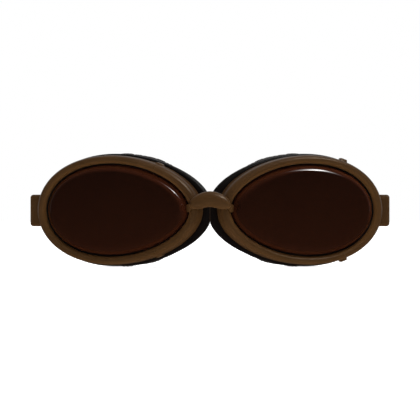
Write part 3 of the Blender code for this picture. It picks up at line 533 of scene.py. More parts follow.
def make_thread(colours):
    """Waxed sewing thread with its ply showing."""
    thread = Finish("sewing_thread", Specular_IOR_Level=0.4, Sheen_Weight=0.15)
    ply = thread.grain(3500.0, 2.0)
    tone = thread.tones(colours.thread, ply, 0.3, 0.7, 0.6, 1.3)
    thread.dress(tone, thread.stretch(ply, 0.3, 0.7, 0.5, 0.7), ply, 0.00006)


# Mesh helpers

def step_ease(share):
    share = min(1.0, max(0.0, share))
    return share * share * (3 - 2 * share)


def circle(centre, across, up, radius, sides):
    return [centre + (across * math.cos(k * math.tau / sides)
                      + up * math.sin(k * math.tau / sides)) * radius for k in range(sides)]


class Shape:
    """Points and faces of one piece, each face with a finish and each point with its marks."""

    def __init__(self):
        self.points, self.faces, self.finishes, self.marks = [], [], [], []

    def add_points(self, points, marks=None):
        first = len(self.points)
        self.points += [Vector(point) for point in points]
        self.marks += marks or [(0.0, 0.0, 0.0)] * len(points)
        return first

    def add_faces(self, faces, finish=0):
        self.faces += faces
        self.finishes += [finish] * len(faces)

    def add_rings(self, rings, closed=False, finish=0, marks=None):
        """Faces between successive rings; a closed run meets itself, an open one is capped."""
        size, count = len(rings[0]), len(rings)
        first = self.add_points([point for ring in rings for point in ring], marks)
        faces = []
        for row in range(count if closed else count - 1):
            low, high = first + row * size, first + ((row + 1) % count) * size
            for k in range(size):
                after = (k + 1) % size
                faces.append((low + k, low + after, high + after, high + k))
        if not closed:
            last = first + (count - 1) * size
            faces += [tuple(range(first + size - 1, first - 1, -1)),
                      tuple(range(last, last + size))]
        self.add_faces(faces, finish)

    def add_stitch(self, start, end, out, radius):
        """A stitch: a short bowed thread whose ends dip into the work."""
        across = (end - start).normalized().cross(out).normalized()
        bow = ((0, 0.35, -0.9), (0.07, 0.75, -0.3), (0.22, 1, 0.15), (0.5, 1, 0.4),
               (0.78, 1, 0.15), (0.93, 0.75, -0.3), (1, 0.35, -0.9))
        self.add_rings([circle(start.lerp(end, share) + out * radius * lift, across, out,
                               radius * wide, 7) for share, wide, lift in bow], finish=1)


def make_piece(name, shape, finishes, angle=SHARP):
    """A mesh object with outward faces, smooth round surfaces and its finishes."""
    mesh = bpy.data.meshes.new(name)
    mesh.from_pydata([tuple(point + ORIGIN) for point in shape.points], [], shape.faces)
    mesh.polygons.foreach_set("material_index", shape.finishes)
    marks = mesh.attributes.new("marks", 'FLOAT_VECTOR', 'POINT')
    marks.data.foreach_set("vector", [value for mark in shape.marks for value in mark])
    work = bmesh.new()
    work.from_mesh(mesh)
    bmesh.ops.recalc_face_normals(work, faces=work.faces)
    work.to_mesh(mesh)
    work.free()
    for finish in finishes:
        mesh.materials.append(bpy.data.materials[f"{finish}_finish"])
    mesh.shade_smooth()
    mesh.set_sharp_from_angle(angle=angle)
    thing = bpy.data.objects.new(name, mesh)
    bpy.context.scene.collection.objects.link(thing)
    return thing


def soften(thing, width, segments, angle=SHARP):
    """A small round on every edge that is sharper than the angle."""
    bevel = thing.modifiers.new("soft_edges", 'BEVEL')
    bevel.width = width
    bevel.segments = segments
    bevel.limit_method = 'ANGLE'
    bevel.angle_limit = angle
    bevel.miter_outer = 'MITER_ARC'


def settle(thing, cuts=(), joined=()):
    """Join tools to a piece, cut others out of it, apply its modifiers and clear the tools."""
    for tool in (*joined, *cuts):
        modifier = thing.modifiers.new(tool.name, 'BOOLEAN')
        modifier.operation = 'UNION' if tool in joined else 'DIFFERENCE'
        modifier.solver = 'EXACT'
        modifier.object = tool
    graph = bpy.context.evaluated_depsgraph_get()
    graph.update()
    mesh = bpy.data.meshes.new_from_object(thing.evaluated_get(graph))
    thing.modifiers.clear()
    old, thing.data = thing.data, mesh
    bpy.data.meshes.remove(old)
    mesh.name = thing.name
    mesh.shade_smooth()
    mesh.set_sharp_from_angle(angle=SHARP)
    for tool in (*joined, *cuts):
        bpy.data.objects.remove(tool, do_unlink=True)
    return thing


def seat_piece(thing, body):
    """Carry a piece on its body, in the name of the CAD node whose name it has."""
    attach(thing, body)
    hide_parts(thing.name.split(".")[0])
    return thing


def block(name, low, high, side=1):
    shape = Shape()
    shape.add_points([(side * x, y, z) for x in (low[0], high[0]) for y in (low[1], high[1])
                      for z in (low[2], high[2])])
    shape.add_faces([(0, 1, 3, 2), (4, 6, 7, 5), (0, 4, 5, 1), (2, 3, 7, 6), (0, 2, 6, 4),
                     (1, 5, 7, 3)])
    return make_piece(name, shape, ("bronze_enamel",))


def turned(name, profile, centre, axis, finish="dark_steel", sides=32):
    """A solid of revolution: profile lists (radius, distance along the axis) from end to end."""
    axis = Vector(axis).normalized()
    across = axis.orthogonal().normalized()
    up = axis.cross(across)
    shape = Shape()
    shape.add_rings([circle(Vector(centre) + axis * distance, across, up, radius, sides)
                     for radius, distance in profile])
    return make_piece(name, shape, (finish,))


def rod(name, radius, low, high, foot, sides=32):
    """A plain upright rod, to be joined to a piece or cut out of it."""
    return turned(name, ((radius, low), (radius, high)), foot, UP, "bronze_enamel", sides)


def pin_profile(radius, low, high, dome, edge=0.0002):
    """A pin with rounded edges and slightly domed ends."""
    steps = [k * math.pi / 8 for k in range(5)]
    return ([(radius * 0.1, low - dome), (radius * 0.55, low - dome * 0.7)]
            + [(radius - edge + edge * math.sin(turn), low + edge * (1 - math.cos(turn)))
               for turn in steps]
            + [(radius - edge + edge * math.cos(turn), high - edge * (1 - math.sin(turn)))
               for turn in steps]
            + [(radius * 0.55, high + dome * 0.7), (radius * 0.1, high + dome)])


def arc(centre, radius, start, end, steps):
    """Points of a small round in a section, from one angle in degrees to another."""
    turns = [math.radians(start + (end - start) * k / steps) for k in range(steps + 1)]
    return [(centre[0] + radius * math.cos(turn), centre[1] + radius * math.sin(turn))
            for turn in turns]


def smooth_line(points, steps):
    """A smooth line through a list of section points."""
    places = [Vector(point) for point in points]
    line = []
    for k, (here, there) in enumerate(zip(places, places[1:])):
        before, after = places[max(k - 1, 0)], places[min(k + 2, len(places) - 1)]
        for step in range(steps):
            s = step / steps
            line.append(tuple(0.5 * (2 * here + (there - before) * s
                                     + (2 * before - 5 * here + 4 * there - after) * s * s
                                     + (3 * here - before - 3 * there + after) * s ** 3)))
    return line + [tuple(points[-1])]


# The eyepiece's lines

def full_turn(steps):
    return [k * math.tau / steps for k in range(steps)]


def egg(turn):
    """A point of the rim's outer line and its normal; turn 0 is the nose, then over the top."""
    along = -HALF_LENGTH * math.cos(turn)
    up = HALF_HEIGHT * math.sin(turn) * (1 - EGG_SHARE * math.cos(turn))
    run = HALF_LENGTH * math.sin(turn)
    rise = HALF_HEIGHT * (math.cos(turn) - EGG_SHARE * math.cos(2 * turn))
    length = math.hypot(run, rise)
    return along, up, -rise / length, run / length


def turn_at_height(height, outer):
    """Where the rim's outer line is at a height, on its ear side or its nose side."""
    low, high = (math.pi / 2, 3 * math.pi / 2) if outer else (-math.pi / 2, math.pi / 2)
    for _ in range(HALVINGS):
        middle = (low + high) / 2
        if (egg(middle)[1] < height - EYE_Z) != outer:
            low = middle
        else:
            high = middle
    return low


def rim_width(turn):
    end = RIM_WIDTH_NOSE if math.cos(turn) > 0 else RIM_WIDTH_OUTER
    return RIM_WIDTH_TOP + (end - RIM_WIDTH_TOP) * math.cos(turn) ** 2


def seat(side, along, up, forward):
    """Eyepiece coordinates to the layout."""
    return Vector((side * (EYE_X + along * COS_WRAP + forward * SIN_WRAP),
                   EYE_Y + along * SIN_WRAP - forward * COS_WRAP, EYE_Z + up))


def on_rim(side, turn, inset, forward):
    along, up, out_along, out_up = egg(turn)
    return seat(side, along - inset * out_along, up - inset * out_up, forward)


def rim_normal(side, turn):
    return (seat(side, *egg(turn)[2:], 0) - seat(side, 0, 0, 0)).normalized()


def sweep(name, side, section, finish, steps, angle=SHARP):
    """Carry a closed section of (inset, forward) points round the rim, up to the middle plane."""
    rings = [[on_rim(side, turn, *place) for place in section(turn)] for turn in full_turn(steps)]
    for ring in rings:
        for point in ring:
            point.x = side * max(side * point.x, NOSE_GAP / 2)
    shape = Shape()
    shape.add_rings(rings, closed=True)
    return make_piece(name, shape, (finish,), angle)


# Rims

def crest_point(turn, lean, offset=0.0):
    half = rim_width(turn) / 2
    out = Vector((-math.cos(lean) / half, math.sin(lean) / RIM_CREST)).normalized()
    return (half * (1 - math.cos(lean)) + out.x * offset,
            RIM_CREST * math.sin(lean) + out.y * offset)


def rim_section(turn, proud):
    """Half-round front, lip, web and rear lip of the clamping channel, with its ear's side."""
    line = [crest_point(turn, k * CREST_SWEEP / CREST_STEPS) for k in range(CREST_STEPS + 1)]
    lip_edge = line.pop()[0]
    line += arc((lip_edge - CHANNEL_ROUND, RIM_LIP + CHANNEL_ROUND), CHANNEL_ROUND, 20, -90, 3)
    line += [(RIM_WEB, RIM_LIP), (RIM_WEB, RIM_LIP_BACK)]
    lip, ear_round = REAR_LIP_REACH - CHANNEL_ROUND, min(proud * 0.4, EAR_ROUND)
    for centre, radius, start, end, steps in (
            ((lip, RIM_LIP_BACK - CHANNEL_ROUND), CHANNEL_ROUND, 90, 0, 2),
            ((lip, RIM_BACK + CHANNEL_ROUND), CHANNEL_ROUND, 0, -90, 2),
            ((RIM_ROUND, RIM_BACK + RIM_ROUND), RIM_ROUND, -90, -180, 4),
            ((-proud + ear_round, EAR_REAR + ear_round), ear_round, 270, 180, 3),
            ((-proud + ear_round, EAR_FRONT - ear_round), ear_round, 180, 90, 3)):
        line += arc(centre, radius, start, end, steps)
    return line


def rim_half(name, side, start, end, steps):
    """One half of the split rim, with a rounded closing ear at each end."""
    proud = EAR_PROUD[side]
    first, last = ([(turn + way * (EAR_SPLIT / 2 + run + more) / MEAN_RADIUS, proud * share)
                    for run, more, share in EAR_TAPER] for turn, way in ((start, 1), (end, -1)))
    step = math.tau / steps
    inside = range(math.ceil(first[-1][0] / step + 0.3), math.floor(last[-1][0] / step - 0.3) + 1)
    stations = first + [(k * step, 0.0) for k in inside] + last[::-1]
    closing = (EAR_SPLIT - SPLIT_LINE) / 2 / MEAN_RADIUS
    rings, marks = [], []
    for turn, ear in stations:
        section = rim_section(turn, ear)
        shift = closing * ((turn == stations[-1][0]) - (turn == stations[0][0]))
        rings.append([on_rim(side, turn + shift, *place) for place in section])
        rub = 0.5 + 0.5 * noise.noise(Vector((turn * 2.1, side * 3.0, 0.4)))
        for k, place in enumerate(section):
            # Painted light: this mark lightens the inner side of the crest in the enamel, standing
            # in for light from below
            painted_light_flank = step_ease((k - PAINTED_LIGHT_FLANK_START) / PAINTED_LIGHT_FLANK_RUN) if k < CREST_STEPS + 4 else 0.0
            at_ear = 0.15 if ear > proud * 0.5 and place[0] < 0 else 0.0
            at_lip = 0.10 * rub if CREST_STEPS - 2 <= k <= CREST_STEPS + 2 else 0.0
            marks.append((painted_light_flank, at_ear + at_lip, 0.0))
    shape = Shape()
    shape.add_rings(rings, marks=marks)
    return make_piece(name, shape, ("bronze_enamel",), math.radians(46))


def make_closing_screw(name, side, turn):
    """The screw that closes a pair of the rim's ears."""
    centre = on_rim(side, turn, (RIM_WEB - EAR_PROUD[side]) / 2, (EAR_FRONT + EAR_REAR) / 2)
    axis = rim_normal(side, turn).cross(seat(side, 0, 0, 1) - seat(side, 0, 0, 0))
    half = EAR_LENGTH + EAR_SPLIT / 2
    profile = pin_profile(CLOSING_SCREW_RADIUS, -half, half, 0.00005, 0.00008)
    return turned(name, profile, centre, axis, sides=20)


# Lens, cup and cushion

def seal_section(turn):
    width, wall, half = rim_width(turn), CHANNEL_INSET + SEAL_WALL, SEAL_LIP / 2
    return [(CHANNEL_INSET, SEAL_FRONT),
            *arc((width + SEAL_REVEAL - half, SEAL_FRONT - half), half, 90, -90, 8),
            (wall, SEAL_FRONT - SEAL_LIP), (wall, SEAL_BACK + SEAL_LIP),
            (width, SEAL_BACK + SEAL_LIP), (width, SEAL_BACK), (CHANNEL_INSET, SEAL_BACK)]


def make_lens(side, steps):
    """The moulded lens: flange, rolled edge band that runs on into the dome, and an even back."""
    turns = full_turn(steps)
    middle = seat(side, 0, 0, 0)
    crown = LENS_WALL + LENS_ROLL_RISE

    def ring(width, forward):
        """Points round the lens, at a width inside its visible edge."""
        return [on_rim(side, turn, rim_width(turn) + SEAL_REVEAL + GAP + width, forward)
                for turn in turns]

    def flange(forward):
        return [on_rim(side, turn, LENS_INSET, forward) for turn in turns]

    def fall(lean):
        return math.log(math.cos(lean) / math.cos(LENS_ROLL_START))

    def roll(share):
        lean = LENS_ROLL_START + (LENS_ROLL_END - LENS_ROLL_START) * share
        return ring(LENS_ROLL_WIDTH * share,
                    LENS_FRONT + LENS_WALL + LENS_ROLL_RISE * fall(lean) / fall(LENS_ROLL_END))

    def foot(share):
        return ring(LENS_FLANGE + (LENS_ROLL_WIDTH - LENS_FLANGE) * share,
                    LENS_BACK + LENS_WALL + LENS_ROLL_RISE * math.sqrt(1 - (1 - share) ** 2))

    def dome(share, base):
        lift = seat(side, 0, 0, base + crown + LENS_DOME_RISE * (1 - share ** 2)) - middle
        return [middle + (point - middle) * share + lift for point in ring(LENS_ROLL_WIDTH, 0)]

    def edge_light_marks(share):
        """Painted light in the rolled edge: a little at its foot all round, most at the top and to
        the right.
        """
        light_facing = [min(1.0, max(0.0, 0.12 + 0.7 * up + 0.35 * side * along))
                for along, up in (egg(turn)[2:] for turn in turns)]
        at_foot = 1 - step_ease(share / 0.4)
        over = (1 - 0.5 * step_ease(share / 0.5)) * (1 - step_ease((share - 0.4) / 0.4))
        return [(0.45 * at_foot * (1 - part) + over * part, 0.0, 0.0) for part in light_facing]

    back = [dome(CENTRE_SHARE, LENS_BACK)]
    back += [dome(k / BACK_STEPS, LENS_BACK) for k in range(1, BACK_STEPS + 1)]
    back += [foot(share) for share in (0.66, 0.3, 0.08, 0)]
    back += [ring(LENS_FLANGE, LENS_BACK), flange(LENS_BACK), flange(LENS_FRONT)]
    edge = [ring(0, LENS_FRONT)] + [roll(k / ROLL_STEPS) for k in range(ROLL_STEPS)]
    front = [dome(1 - k / DOME_STEPS, LENS_FRONT) for k in range(DOME_STEPS)]
    front.append(dome(CENTRE_SHARE, LENS_FRONT))
    plain = [(0.0, 0.0, 0.0)] * steps
    # Marks of the painted light in the rolled edge, ring by ring
    marks = plain * len(back) + edge_light_marks(0)
    for k in range(ROLL_STEPS):
        marks += edge_light_marks(k / ROLL_STEPS)
    shape = Shape()
    shape.add_rings(back + edge + front, marks=marks + plain * len(front))
    return make_piece(f"{SIDE_NAMES[side]}_lens", shape, ("amber_lens",))


def cup_lines(turn):
    """The cup's outside from its shoulder back; the nose side swells, then falls away."""
    nose = ((1 + math.cos(turn)) / 2) ** NOSE_POWER
    rest = CUP_DEPTH - NOSE_SWELL_DEPTH
    depths = [CUP_SHOULDER_FRONT, CUP_SHOULDER_FRONT - CUP_SHOULDER, -NOSE_SWELL_DEPTH]
    depths += [-NOSE_SWELL_DEPTH - rest * share for share in CUP_REST_SHARES]
    lines = [[nose * (NOSE_RELIEF * relief - NOSE_SWELL * swell) - CUP_FLARE, depth]
             for swell, relief, depth in zip(CUP_SWELL_SHARES, CUP_RELIEF_SHARES, depths)]
    lines[0][0] += CUP_SHOULDER
    return lines


def cup_section(turn):
    """Front bead, neck, rounded shoulder, flared wall and the inturned seat."""
    width = rim_width(turn)
    outer = cup_lines(turn)
    (start, front), (end, rear) = outer[:2]
    shoulder = [(start + (end - start) * math.sin(k * math.pi / 10),
                 front + (rear - front) * (1 - math.cos(k * math.pi / 10))) for k in range(5)]
    seat_edge, seat_front = outer[-1][0] + SEAT_WIDTH, -CUP_DEPTH + SEAT_THICKNESS
    inner = [(inset + CUP_WALL, max(depth, seat_front))
             for inset, depth in smooth_line(outer[2:], 4)]
    return [(CHANNEL_INSET, BEAD_FRONT), (CHANNEL_INSET, BEAD_BACK), (NECK_INSET, BEAD_BACK),
            (NECK_INSET, CUP_SHOULDER_FRONT), *shoulder, *smooth_line(outer[1:], 6),
            *arc((seat_edge - SEAT_ROUND, -CUP_DEPTH + SEAT_ROUND), SEAT_ROUND, -90, 0, 3),
            *arc((seat_edge - SEAT_ROUND, seat_front - SEAT_ROUND), SEAT_ROUND, 0, 90, 3),
            *inner[::-1], (width, CUP_SHOULDER_FRONT - CUP_SHOULDER), (width, BEAD_FRONT)]


def cushion_point(turn, wide, deep, phase, sizes):
    """A point of the right cushion's cover before its padding swells; phase counts its stitches."""
    middle = cup_lines(turn)[-1][0] + SEAT_WIDTH / 2
    pull = math.exp(-((deep - CUSHION_SEAM) / 0.1) ** 2)
    pucker = 0.55 + 0.45 * abs(math.sin(math.pi * phase))
    drift = noise.noise(Vector((phase * 0.35, wide * 1.2, deep * 1.5)))
    slack = drift * CUSHION_SLACK * min(1.0, deep * 3)
    half = (CUSHION_HALF_WIDTH * CUSHION_START * abs(wide)
            - sizes.cushion_seam * pull * (1.6 - pucker) + slack)
    crown = CUSHION_DEPTH * deep * (CUSHION_START if deep > 0 else 1.0) + slack
    return on_rim(1, turn, middle + math.copysign(half, wide), -CUP_DEPTH - GAP - crown)


def swell(points, faces, held):
    """Blow up the padding inside its cover: cloth under pressure, held where sewn or glued."""
    mesh = bpy.data.meshes.new("padding")
    mesh.from_pydata([point * CLOTH_SCALE for point in points], [], faces)
    cover = bpy.data.objects.new("padding", mesh)
    scene = bpy.context.scene
    scene.collection.objects.link(cover)
    sewn = cover.vertex_groups.new(name="sewn")
    sewn.add(held, 1.0, 'REPLACE')
    cloth = cover.modifiers.new("cover", 'CLOTH')
    cloth.settings.vertex_group_mass = sewn.name
    cloth.settings.mass = CLOTH_MASS
    cloth.settings.shrink_min = -CLOTH_GROWTH
    cloth.settings.use_pressure = True
    cloth.settings.uniform_pressure_force = CLOTH_PRESSURE
    cloth.settings.effector_weights.gravity = 0.0
    cloth.settings.bending_stiffness = CLOTH_BENDING
    cloth.collision_settings.use_collision = False
    cloth.point_cache.frame_start, cloth.point_cache.frame_end = 1, CLOTH_FRAMES
    for step in range(1, CLOTH_FRAMES + 1):
        scene.frame_set(step)
    graph = bpy.context.evaluated_depsgraph_get()
    swollen = []
    for point, vertex in zip(points, cover.evaluated_get(graph).data.vertices):
        move = vertex.co / CLOTH_SCALE - point
        if move.length > CLOTH_CAP:
            move *= CLOTH_CAP / move.length
        swollen.append(point + move)
    bpy.data.objects.remove(cover, do_unlink=True)
    scene.frame_set(1)
    return swollen


def shape_cushion(sizes):
    """The right cushion: a leather ring, padded full, drawn in at a stitched seam near its base."""
    inner = smooth_line(CUSHION_HALF_SECTION, 2)
    section = inner + [(-wide, deep) for wide, deep in inner[::-1]]
    turns = full_turn(CUSHION_STATIONS)
    line = [on_rim(1, turn, SEAT_WIDTH / 2 - CUP_FLARE, -CUP_DEPTH) for turn in turns]
    lengths = [0.0]
    for here, there in zip(line, line[1:] + line[:1]):
        lengths.append(lengths[-1] + (there - here).length)
    stitches = round(lengths[-1] / (sizes.stitch_pitch * 1.5))
    shape = Shape()
    shape.add_rings([[cushion_point(turn, *place, length / lengths[-1] * stitches, sizes)
                      for place in section] for turn, length in zip(turns, lengths)], closed=True)
    depths = [deep for _, deep in section] * len(turns)
    held = [k for k, deep in enumerate(depths) if deep < 0.04 or abs(deep - CUSHION_SEAM) < 0.01]
    shape.points = swell(shape.points, shape.faces, held)
    for wide in (1, -1):
        for number in range(stitches):
            ends = []
            for share in (0.2, 0.8):
                length = (number + share) / stitches * lengths[-1]
                k = next(j for j in range(len(turns)) if lengths[j + 1] >= length)
                part = (length - lengths[k]) / (lengths[k + 1] - lengths[k])
                turn = (k + part) * math.tau / len(turns)
                ends.append(cushion_point(turn, wide * 0.98, CUSHION_SEAM, number + share, sizes))
            shape.add_stitch(*ends, rim_normal(1, turn) * -wide, sizes.thread_radius)
    return shape


# Hinge, bridge and lugs

def make_saddle(side, sizes):
    """The bracket over the rim: a rounded pad by the lens, a band over the crest, the tongue."""
    label = SIDE_NAMES[side]
    foot = (side * HINGE_X, 0, 0)

    def corner(near, size):
        """How far a rounded corner takes the edge in, near the band's end."""
        run, drop = size
        return drop * (1 - math.sqrt(max(0.0, 1 - max(0.0, near / run) ** 2)))

    def limits(lean):
        pad = step_ease((lean - SADDLE_PAD_START) / SADDLE_PAD_EASE)
        drop = corner(lean - SADDLE_END + SADDLE_REAR_CORNER[0], SADDLE_REAR_CORNER)
        drop += corner(SADDLE_START + SADDLE_NOSE_CORNER[0] - lean, SADDLE_NOSE_CORNER)
        return SADDLE_BAND_LOW - SADDLE_PAD_DROP * pad + drop, SADDLE_HIGH - drop

    def layer(offset):
        points = []
        for k in range(SADDLE_COLUMNS + 1):
            lean = SADDLE_START + k * (SADDLE_END - SADDLE_START) / SADDLE_COLUMNS
            low, high = limits(lean)
            for row in range(SADDLE_ROWS + 1):
                turn = turn_at_height(low + (high - low) * row / SADDLE_ROWS, False)
                points.append(on_rim(side, turn, *crest_point(turn, lean, offset)))
        return points

    shape = Shape()
    shape.add_points(layer(GAP))
    far = shape.add_points(layer(GAP + SADDLE_THICKNESS))
    wide = SADDLE_ROWS + 1
    faces = []
    for a in range(0, SADDLE_COLUMNS * wide, wide):
        for b in range(a, a + SADDLE_ROWS):
            faces += [(b, b + 1, b + wide + 1, b + wide),
                      (far + b, far + b + wide, far + b + wide + 1, far + b + 1)]
        faces += [(b, b + wide, far + b + wide, far + b) for b in (a, a + SADDLE_ROWS)]
    for a in (0, SADDLE_COLUMNS * wide):
        faces += [(b, b + 1, far + b + 1, far + b) for b in range(a, a + SADDLE_ROWS)]
    shape.add_faces(faces)
    saddle = make_piece(f"{label}_hinge_saddle", shape, ("bronze_enamel",))
    soften(saddle, sizes.edge_round, 3)
    settle(saddle)
    web = block(f"{label}_tongue_web", (HINGE_X - TONGUE_WEB / 2, 0, TONGUE_LOW + WELD),
                (HINGE_X + TONGUE_WEB / 2, HINGE_TO_SADDLE + SADDLE_THICKNESS / 2,
                 TONGUE_HIGH - WELD), side)
    eye = rod(f"{label}_tongue_eye", TONGUE_RADIUS, TONGUE_LOW, TONGUE_HIGH, foot, 40)
    bore = rod(f"{label}_tongue_bore", HINGE_PIN_RADIUS + PIN_GAP, TONGUE_LOW - OVERRUN,
               TONGUE_HIGH + OVERRUN, foot)
    return settle(saddle, [bore], [web, eye])


def bridge_share(x, power):
    return max(0.0, 1 - (abs(x) / BRIDGE_HALF_LENGTH) ** power) ** (1 / power)


def bridge_top(x):
    return BRIDGE_SPRING_Z + BRIDGE_ARCH_RISE * bridge_share(x, BRIDGE_ARCH_POWER)


def bridge_bottom(x):
    belly = BRIDGE_BELLY_MIDDLE + (BRIDGE_BELLY - BRIDGE_BELLY_MIDDLE) * step_ease(abs(x) / HINGE_X)
    return BRIDGE_SPRING_Z - belly * bridge_share(x, BRIDGE_END_POWER)


def make_bridge():
    """The arched bar, pocketed from behind for each tongue and bored for each hinge pin."""
    rings, marks = [], []
    for k in range(BRIDGE_STEPS + 1):
        x = BRIDGE_HALF_LENGTH * math.sin(BRIDGE_END_TURN * (2 * k / BRIDGE_STEPS - 1))
        top, bottom = bridge_top(x), bridge_bottom(x)
        depth = BRIDGE_HALF_DEPTH * bridge_share(x, BRIDGE_END_POWER)
        turns = full_turn(BRIDGE_SIDES)
        rings.append([Vector((x, depth * math.cos(turn),
                              (top + bottom) / 2 + (top - bottom) / 2 * math.sin(turn)))
                      for turn in turns])
        marks += [(0.0, 0.16 * max(0.0, math.sin(turn)) ** 6, 0.0) for turn in turns]
    shape = Shape()
    shape.add_rings(rings, marks=marks)
    bridge = make_piece("bridge", shape, ("bronze_enamel",))
    low, high = TONGUE_LOW - GAP, TONGUE_HIGH + GAP
    swing = BRIDGE_HALF_DEPTH * SIN_WRAP + GAP
    cuts = []
    for side, label in SIDE_NAMES.items():
        foot = (side * HINGE_X, 0, 0)
        cuts += [rod(f"{label}_pocket", TONGUE_RADIUS + GAP, low, high, foot, 40),
                 block(f"{label}_mouth", (HINGE_X - TONGUE_RADIUS - GAP, 0, low + WELD),
                       (HINGE_X + TONGUE_WEB / 2 + swing + GAP, BRIDGE_HALF_DEPTH + OVERRUN,
                        high - WELD), side),
                 rod(f"{label}_bore", HINGE_PIN_RADIUS + PIN_GAP, -0.004, 0.016, foot)]
    return settle(bridge, cuts)


def cup_wall(side, height, depth):
    return on_rim(side, turn_at_height(height, True), -CUP_FLARE, -depth)


LUG_FRONT_Y = cup_wall(1, 0, LUG_FRONT_DEPTH).y
LUG_OUTER_X = (EYE_X + (HALF_LENGTH - RIM_WIDTH_OUTER / 2) * COS_WRAP + LUG_REACH
               + math.hypot(RIM_WIDTH_OUTER / 2 * COS_WRAP, RIM_CREST * SIN_WRAP))
STRAP_PIN_X = LUG_OUTER_X - LOOP_INSET - LOOP_RADIUS
STRAP_PIN_Y = LUG_FRONT_Y + LUG_PLATE + LOOP_ROOM + LOOP_RADIUS


def make_lug(side):
    """The shackle: a plate facing forward, two arms behind it and a foot on the cup's wall."""
    label = SIDE_NAMES[side]
    front, rear = LUG_FRONT_Y, STRAP_PIN_Y + STRAP_PIN_RADIUS + LUG_ARM / 2
    lug = block(f"{label}_strap_lug", (LUG_OUTER_X - LUG_INSET, front, -LUG_HALF_HEIGHT),
                (LUG_OUTER_X, rear, LUG_HALF_HEIGHT), side)
    bevel = lug.modifiers.new("rounded_edges", 'BEVEL')
    bevel.width = LUG_BEVEL
    bevel.segments = 8
    bevel.limit_method = 'WEIGHT'
    weights = lug.data.attributes.new("bevel_weight_edge", 'FLOAT', 'EDGE')
    for edge in lug.data.edges:
        ends = [lug.data.vertices[k].co - ORIGIN for k in edge.vertices]
        on_front = all(abs(end.y - front) < GAP for end in ends)
        on_outside = all(abs(end.x) > LUG_OUTER_X - GAP for end in ends)
        level = abs(ends[0].z - ends[1].z) < GAP
        weights.data[edge.index].value = float(on_outside or (on_front and level))
    slot = block(f"{label}_lug_slot",
                 (LUG_OUTER_X - LUG_INSET - OVERRUN, front + LUG_PLATE, -LUG_SLOT_HALF_HEIGHT),
                 (LUG_OUTER_X + OVERRUN, rear + OVERRUN, LUG_SLOT_HALF_HEIGHT), side)
    settle(lug, [slot])
    low, high = (turn_at_height(sign * (LUG_SLOT_HALF_HEIGHT - GAP), True) for sign in (1, -1))
    near, far = -CUP_FLARE - GAP, -CUP_FLARE - GAP - LUG_FOOT
    section = ((near, -LUG_FRONT_DEPTH), (far, -LUG_FRONT_DEPTH), (far, -LUG_FOOT_REAR),
               (near, -LUG_FOOT_REAR))
    shape = Shape()
    shape.add_rings([[on_rim(side, low + (high - low) * k / 24, *place) for place in section]
                     for k in range(25)])
    foot = make_piece(f"{label}_lug_foot", shape, ("bronze_enamel",))
    bore = rod(f"{label}_lug_bore", STRAP_PIN_RADIUS + PIN_GAP, -LUG_HALF_HEIGHT - OVERRUN,
               LUG_HALF_HEIGHT + OVERRUN, (side * STRAP_PIN_X, STRAP_PIN_Y, 0))
    return settle(lug, [bore], [foot])


def make_rivet(name, side, height):
    """A rivet through the lug's foot and the cup's wall, domed at both ends."""
    head, tail = GAP + LUG_FOOT + GAP, -CUP_WALL - GAP
    profile = [(RIVET_HEAD * wide, tail - RIVET_DOME * high)
               for wide, high in ((0.25, 1), (0.55, 0.95), (0.8, 0.7), (1, 0))]
    profile += [(RIVET_RADIUS, tail), (RIVET_RADIUS, head)]
    profile += [(RIVET_HEAD * math.cos(turn), head + RIVET_DOME * math.sin(turn))
                for turn in (k * math.pi / 18 for k in range(9))]
    axis = rim_normal(side, turn_at_height(height, True))
    return turned(name, profile, cup_wall(side, height, RIVET_DEPTH), axis, sides=28)


# Strap

def curve_points(corners, steps):
    """Points of a cubic curve with the given end points and pulls."""
    points = []
    for k in range(steps + 1):
        s = k / steps
        weights = ((1 - s) ** 3, 3 * s * (1 - s) ** 2, 3 * s * s * (1 - s), s ** 3)
        points.append(sum((corner * weight for corner, weight in zip(corners, weights)),
                          Vector((0, 0))))
    return points


def even_path(points, pitch):
    """The same path with points at an even pitch."""
    lengths = [0.0]
    for here, there in zip(points, points[1:]):
        lengths.append(lengths[-1] + (there - here).length)
    count = max(2, round(lengths[-1] / pitch))
    path, k = [], 0
    for step in range(count + 1):
        target = lengths[-1] * step / count
        while k < len(points) - 2 and lengths[k + 1] < target:
            k += 1
        span = lengths[k + 1] - lengths[k]
        path.append(points[k].lerp(points[k + 1], (target - lengths[k]) / span if span else 0.0))
    return path


def loop_path(centre, radius, heading, way):
    """Round a bar and back: from the sewn end to the bar, round it, and along the stem."""
    aside = Vector((-heading.y, heading.x)) * way
    half = STRAP_THICKNESS / 2 + SEWN_GAP
    length = radius + STEM_LENGTH
    steps = 36

    def at(distance, sign):
        gap = half + (radius - half) * (1 - step_ease(distance / LOOP_CLOSING))
        return centre + heading * distance + aside * gap * sign

    back = [at(length * (1 - k / steps), -1) for k in range(steps)]
    turn = [centre - heading * radius * math.sin(k * math.pi / 20)
            - aside * radius * math.cos(k * math.pi / 20) for k in range(21)]
    return back + turn + [at(length * (k + 1) / steps, 1) for k in range(steps)]


def band_section():
    """The webbing's cross-section: rounded selvedges and a very slight hollow between them."""
    half, thick = STRAP_HALF_WIDTH, STRAP_THICKNESS / 2
    face = []
    for k in range(BAND_COLUMNS + 1):
        z = -half + SELVEDGE + 2 * (half - SELVEDGE) * k / BAND_COLUMNS
        rim = max(0.0, 1 - (half - abs(z)) / SELVEDGE_EASE)
        face.append((thick * (0.93 + 0.07 * rim), z))
    top = [(thick * share, half - inset) for inset, share in SELVEDGE_EDGE[::-1]]
    foot = [(thick * share, -half + inset) for inset, share in SELVEDGE_EDGE]
    back = [(-reach, z) for reach, z in (foot[1:] + face + top[:-1])[::-1]]
    return face + top + back + foot


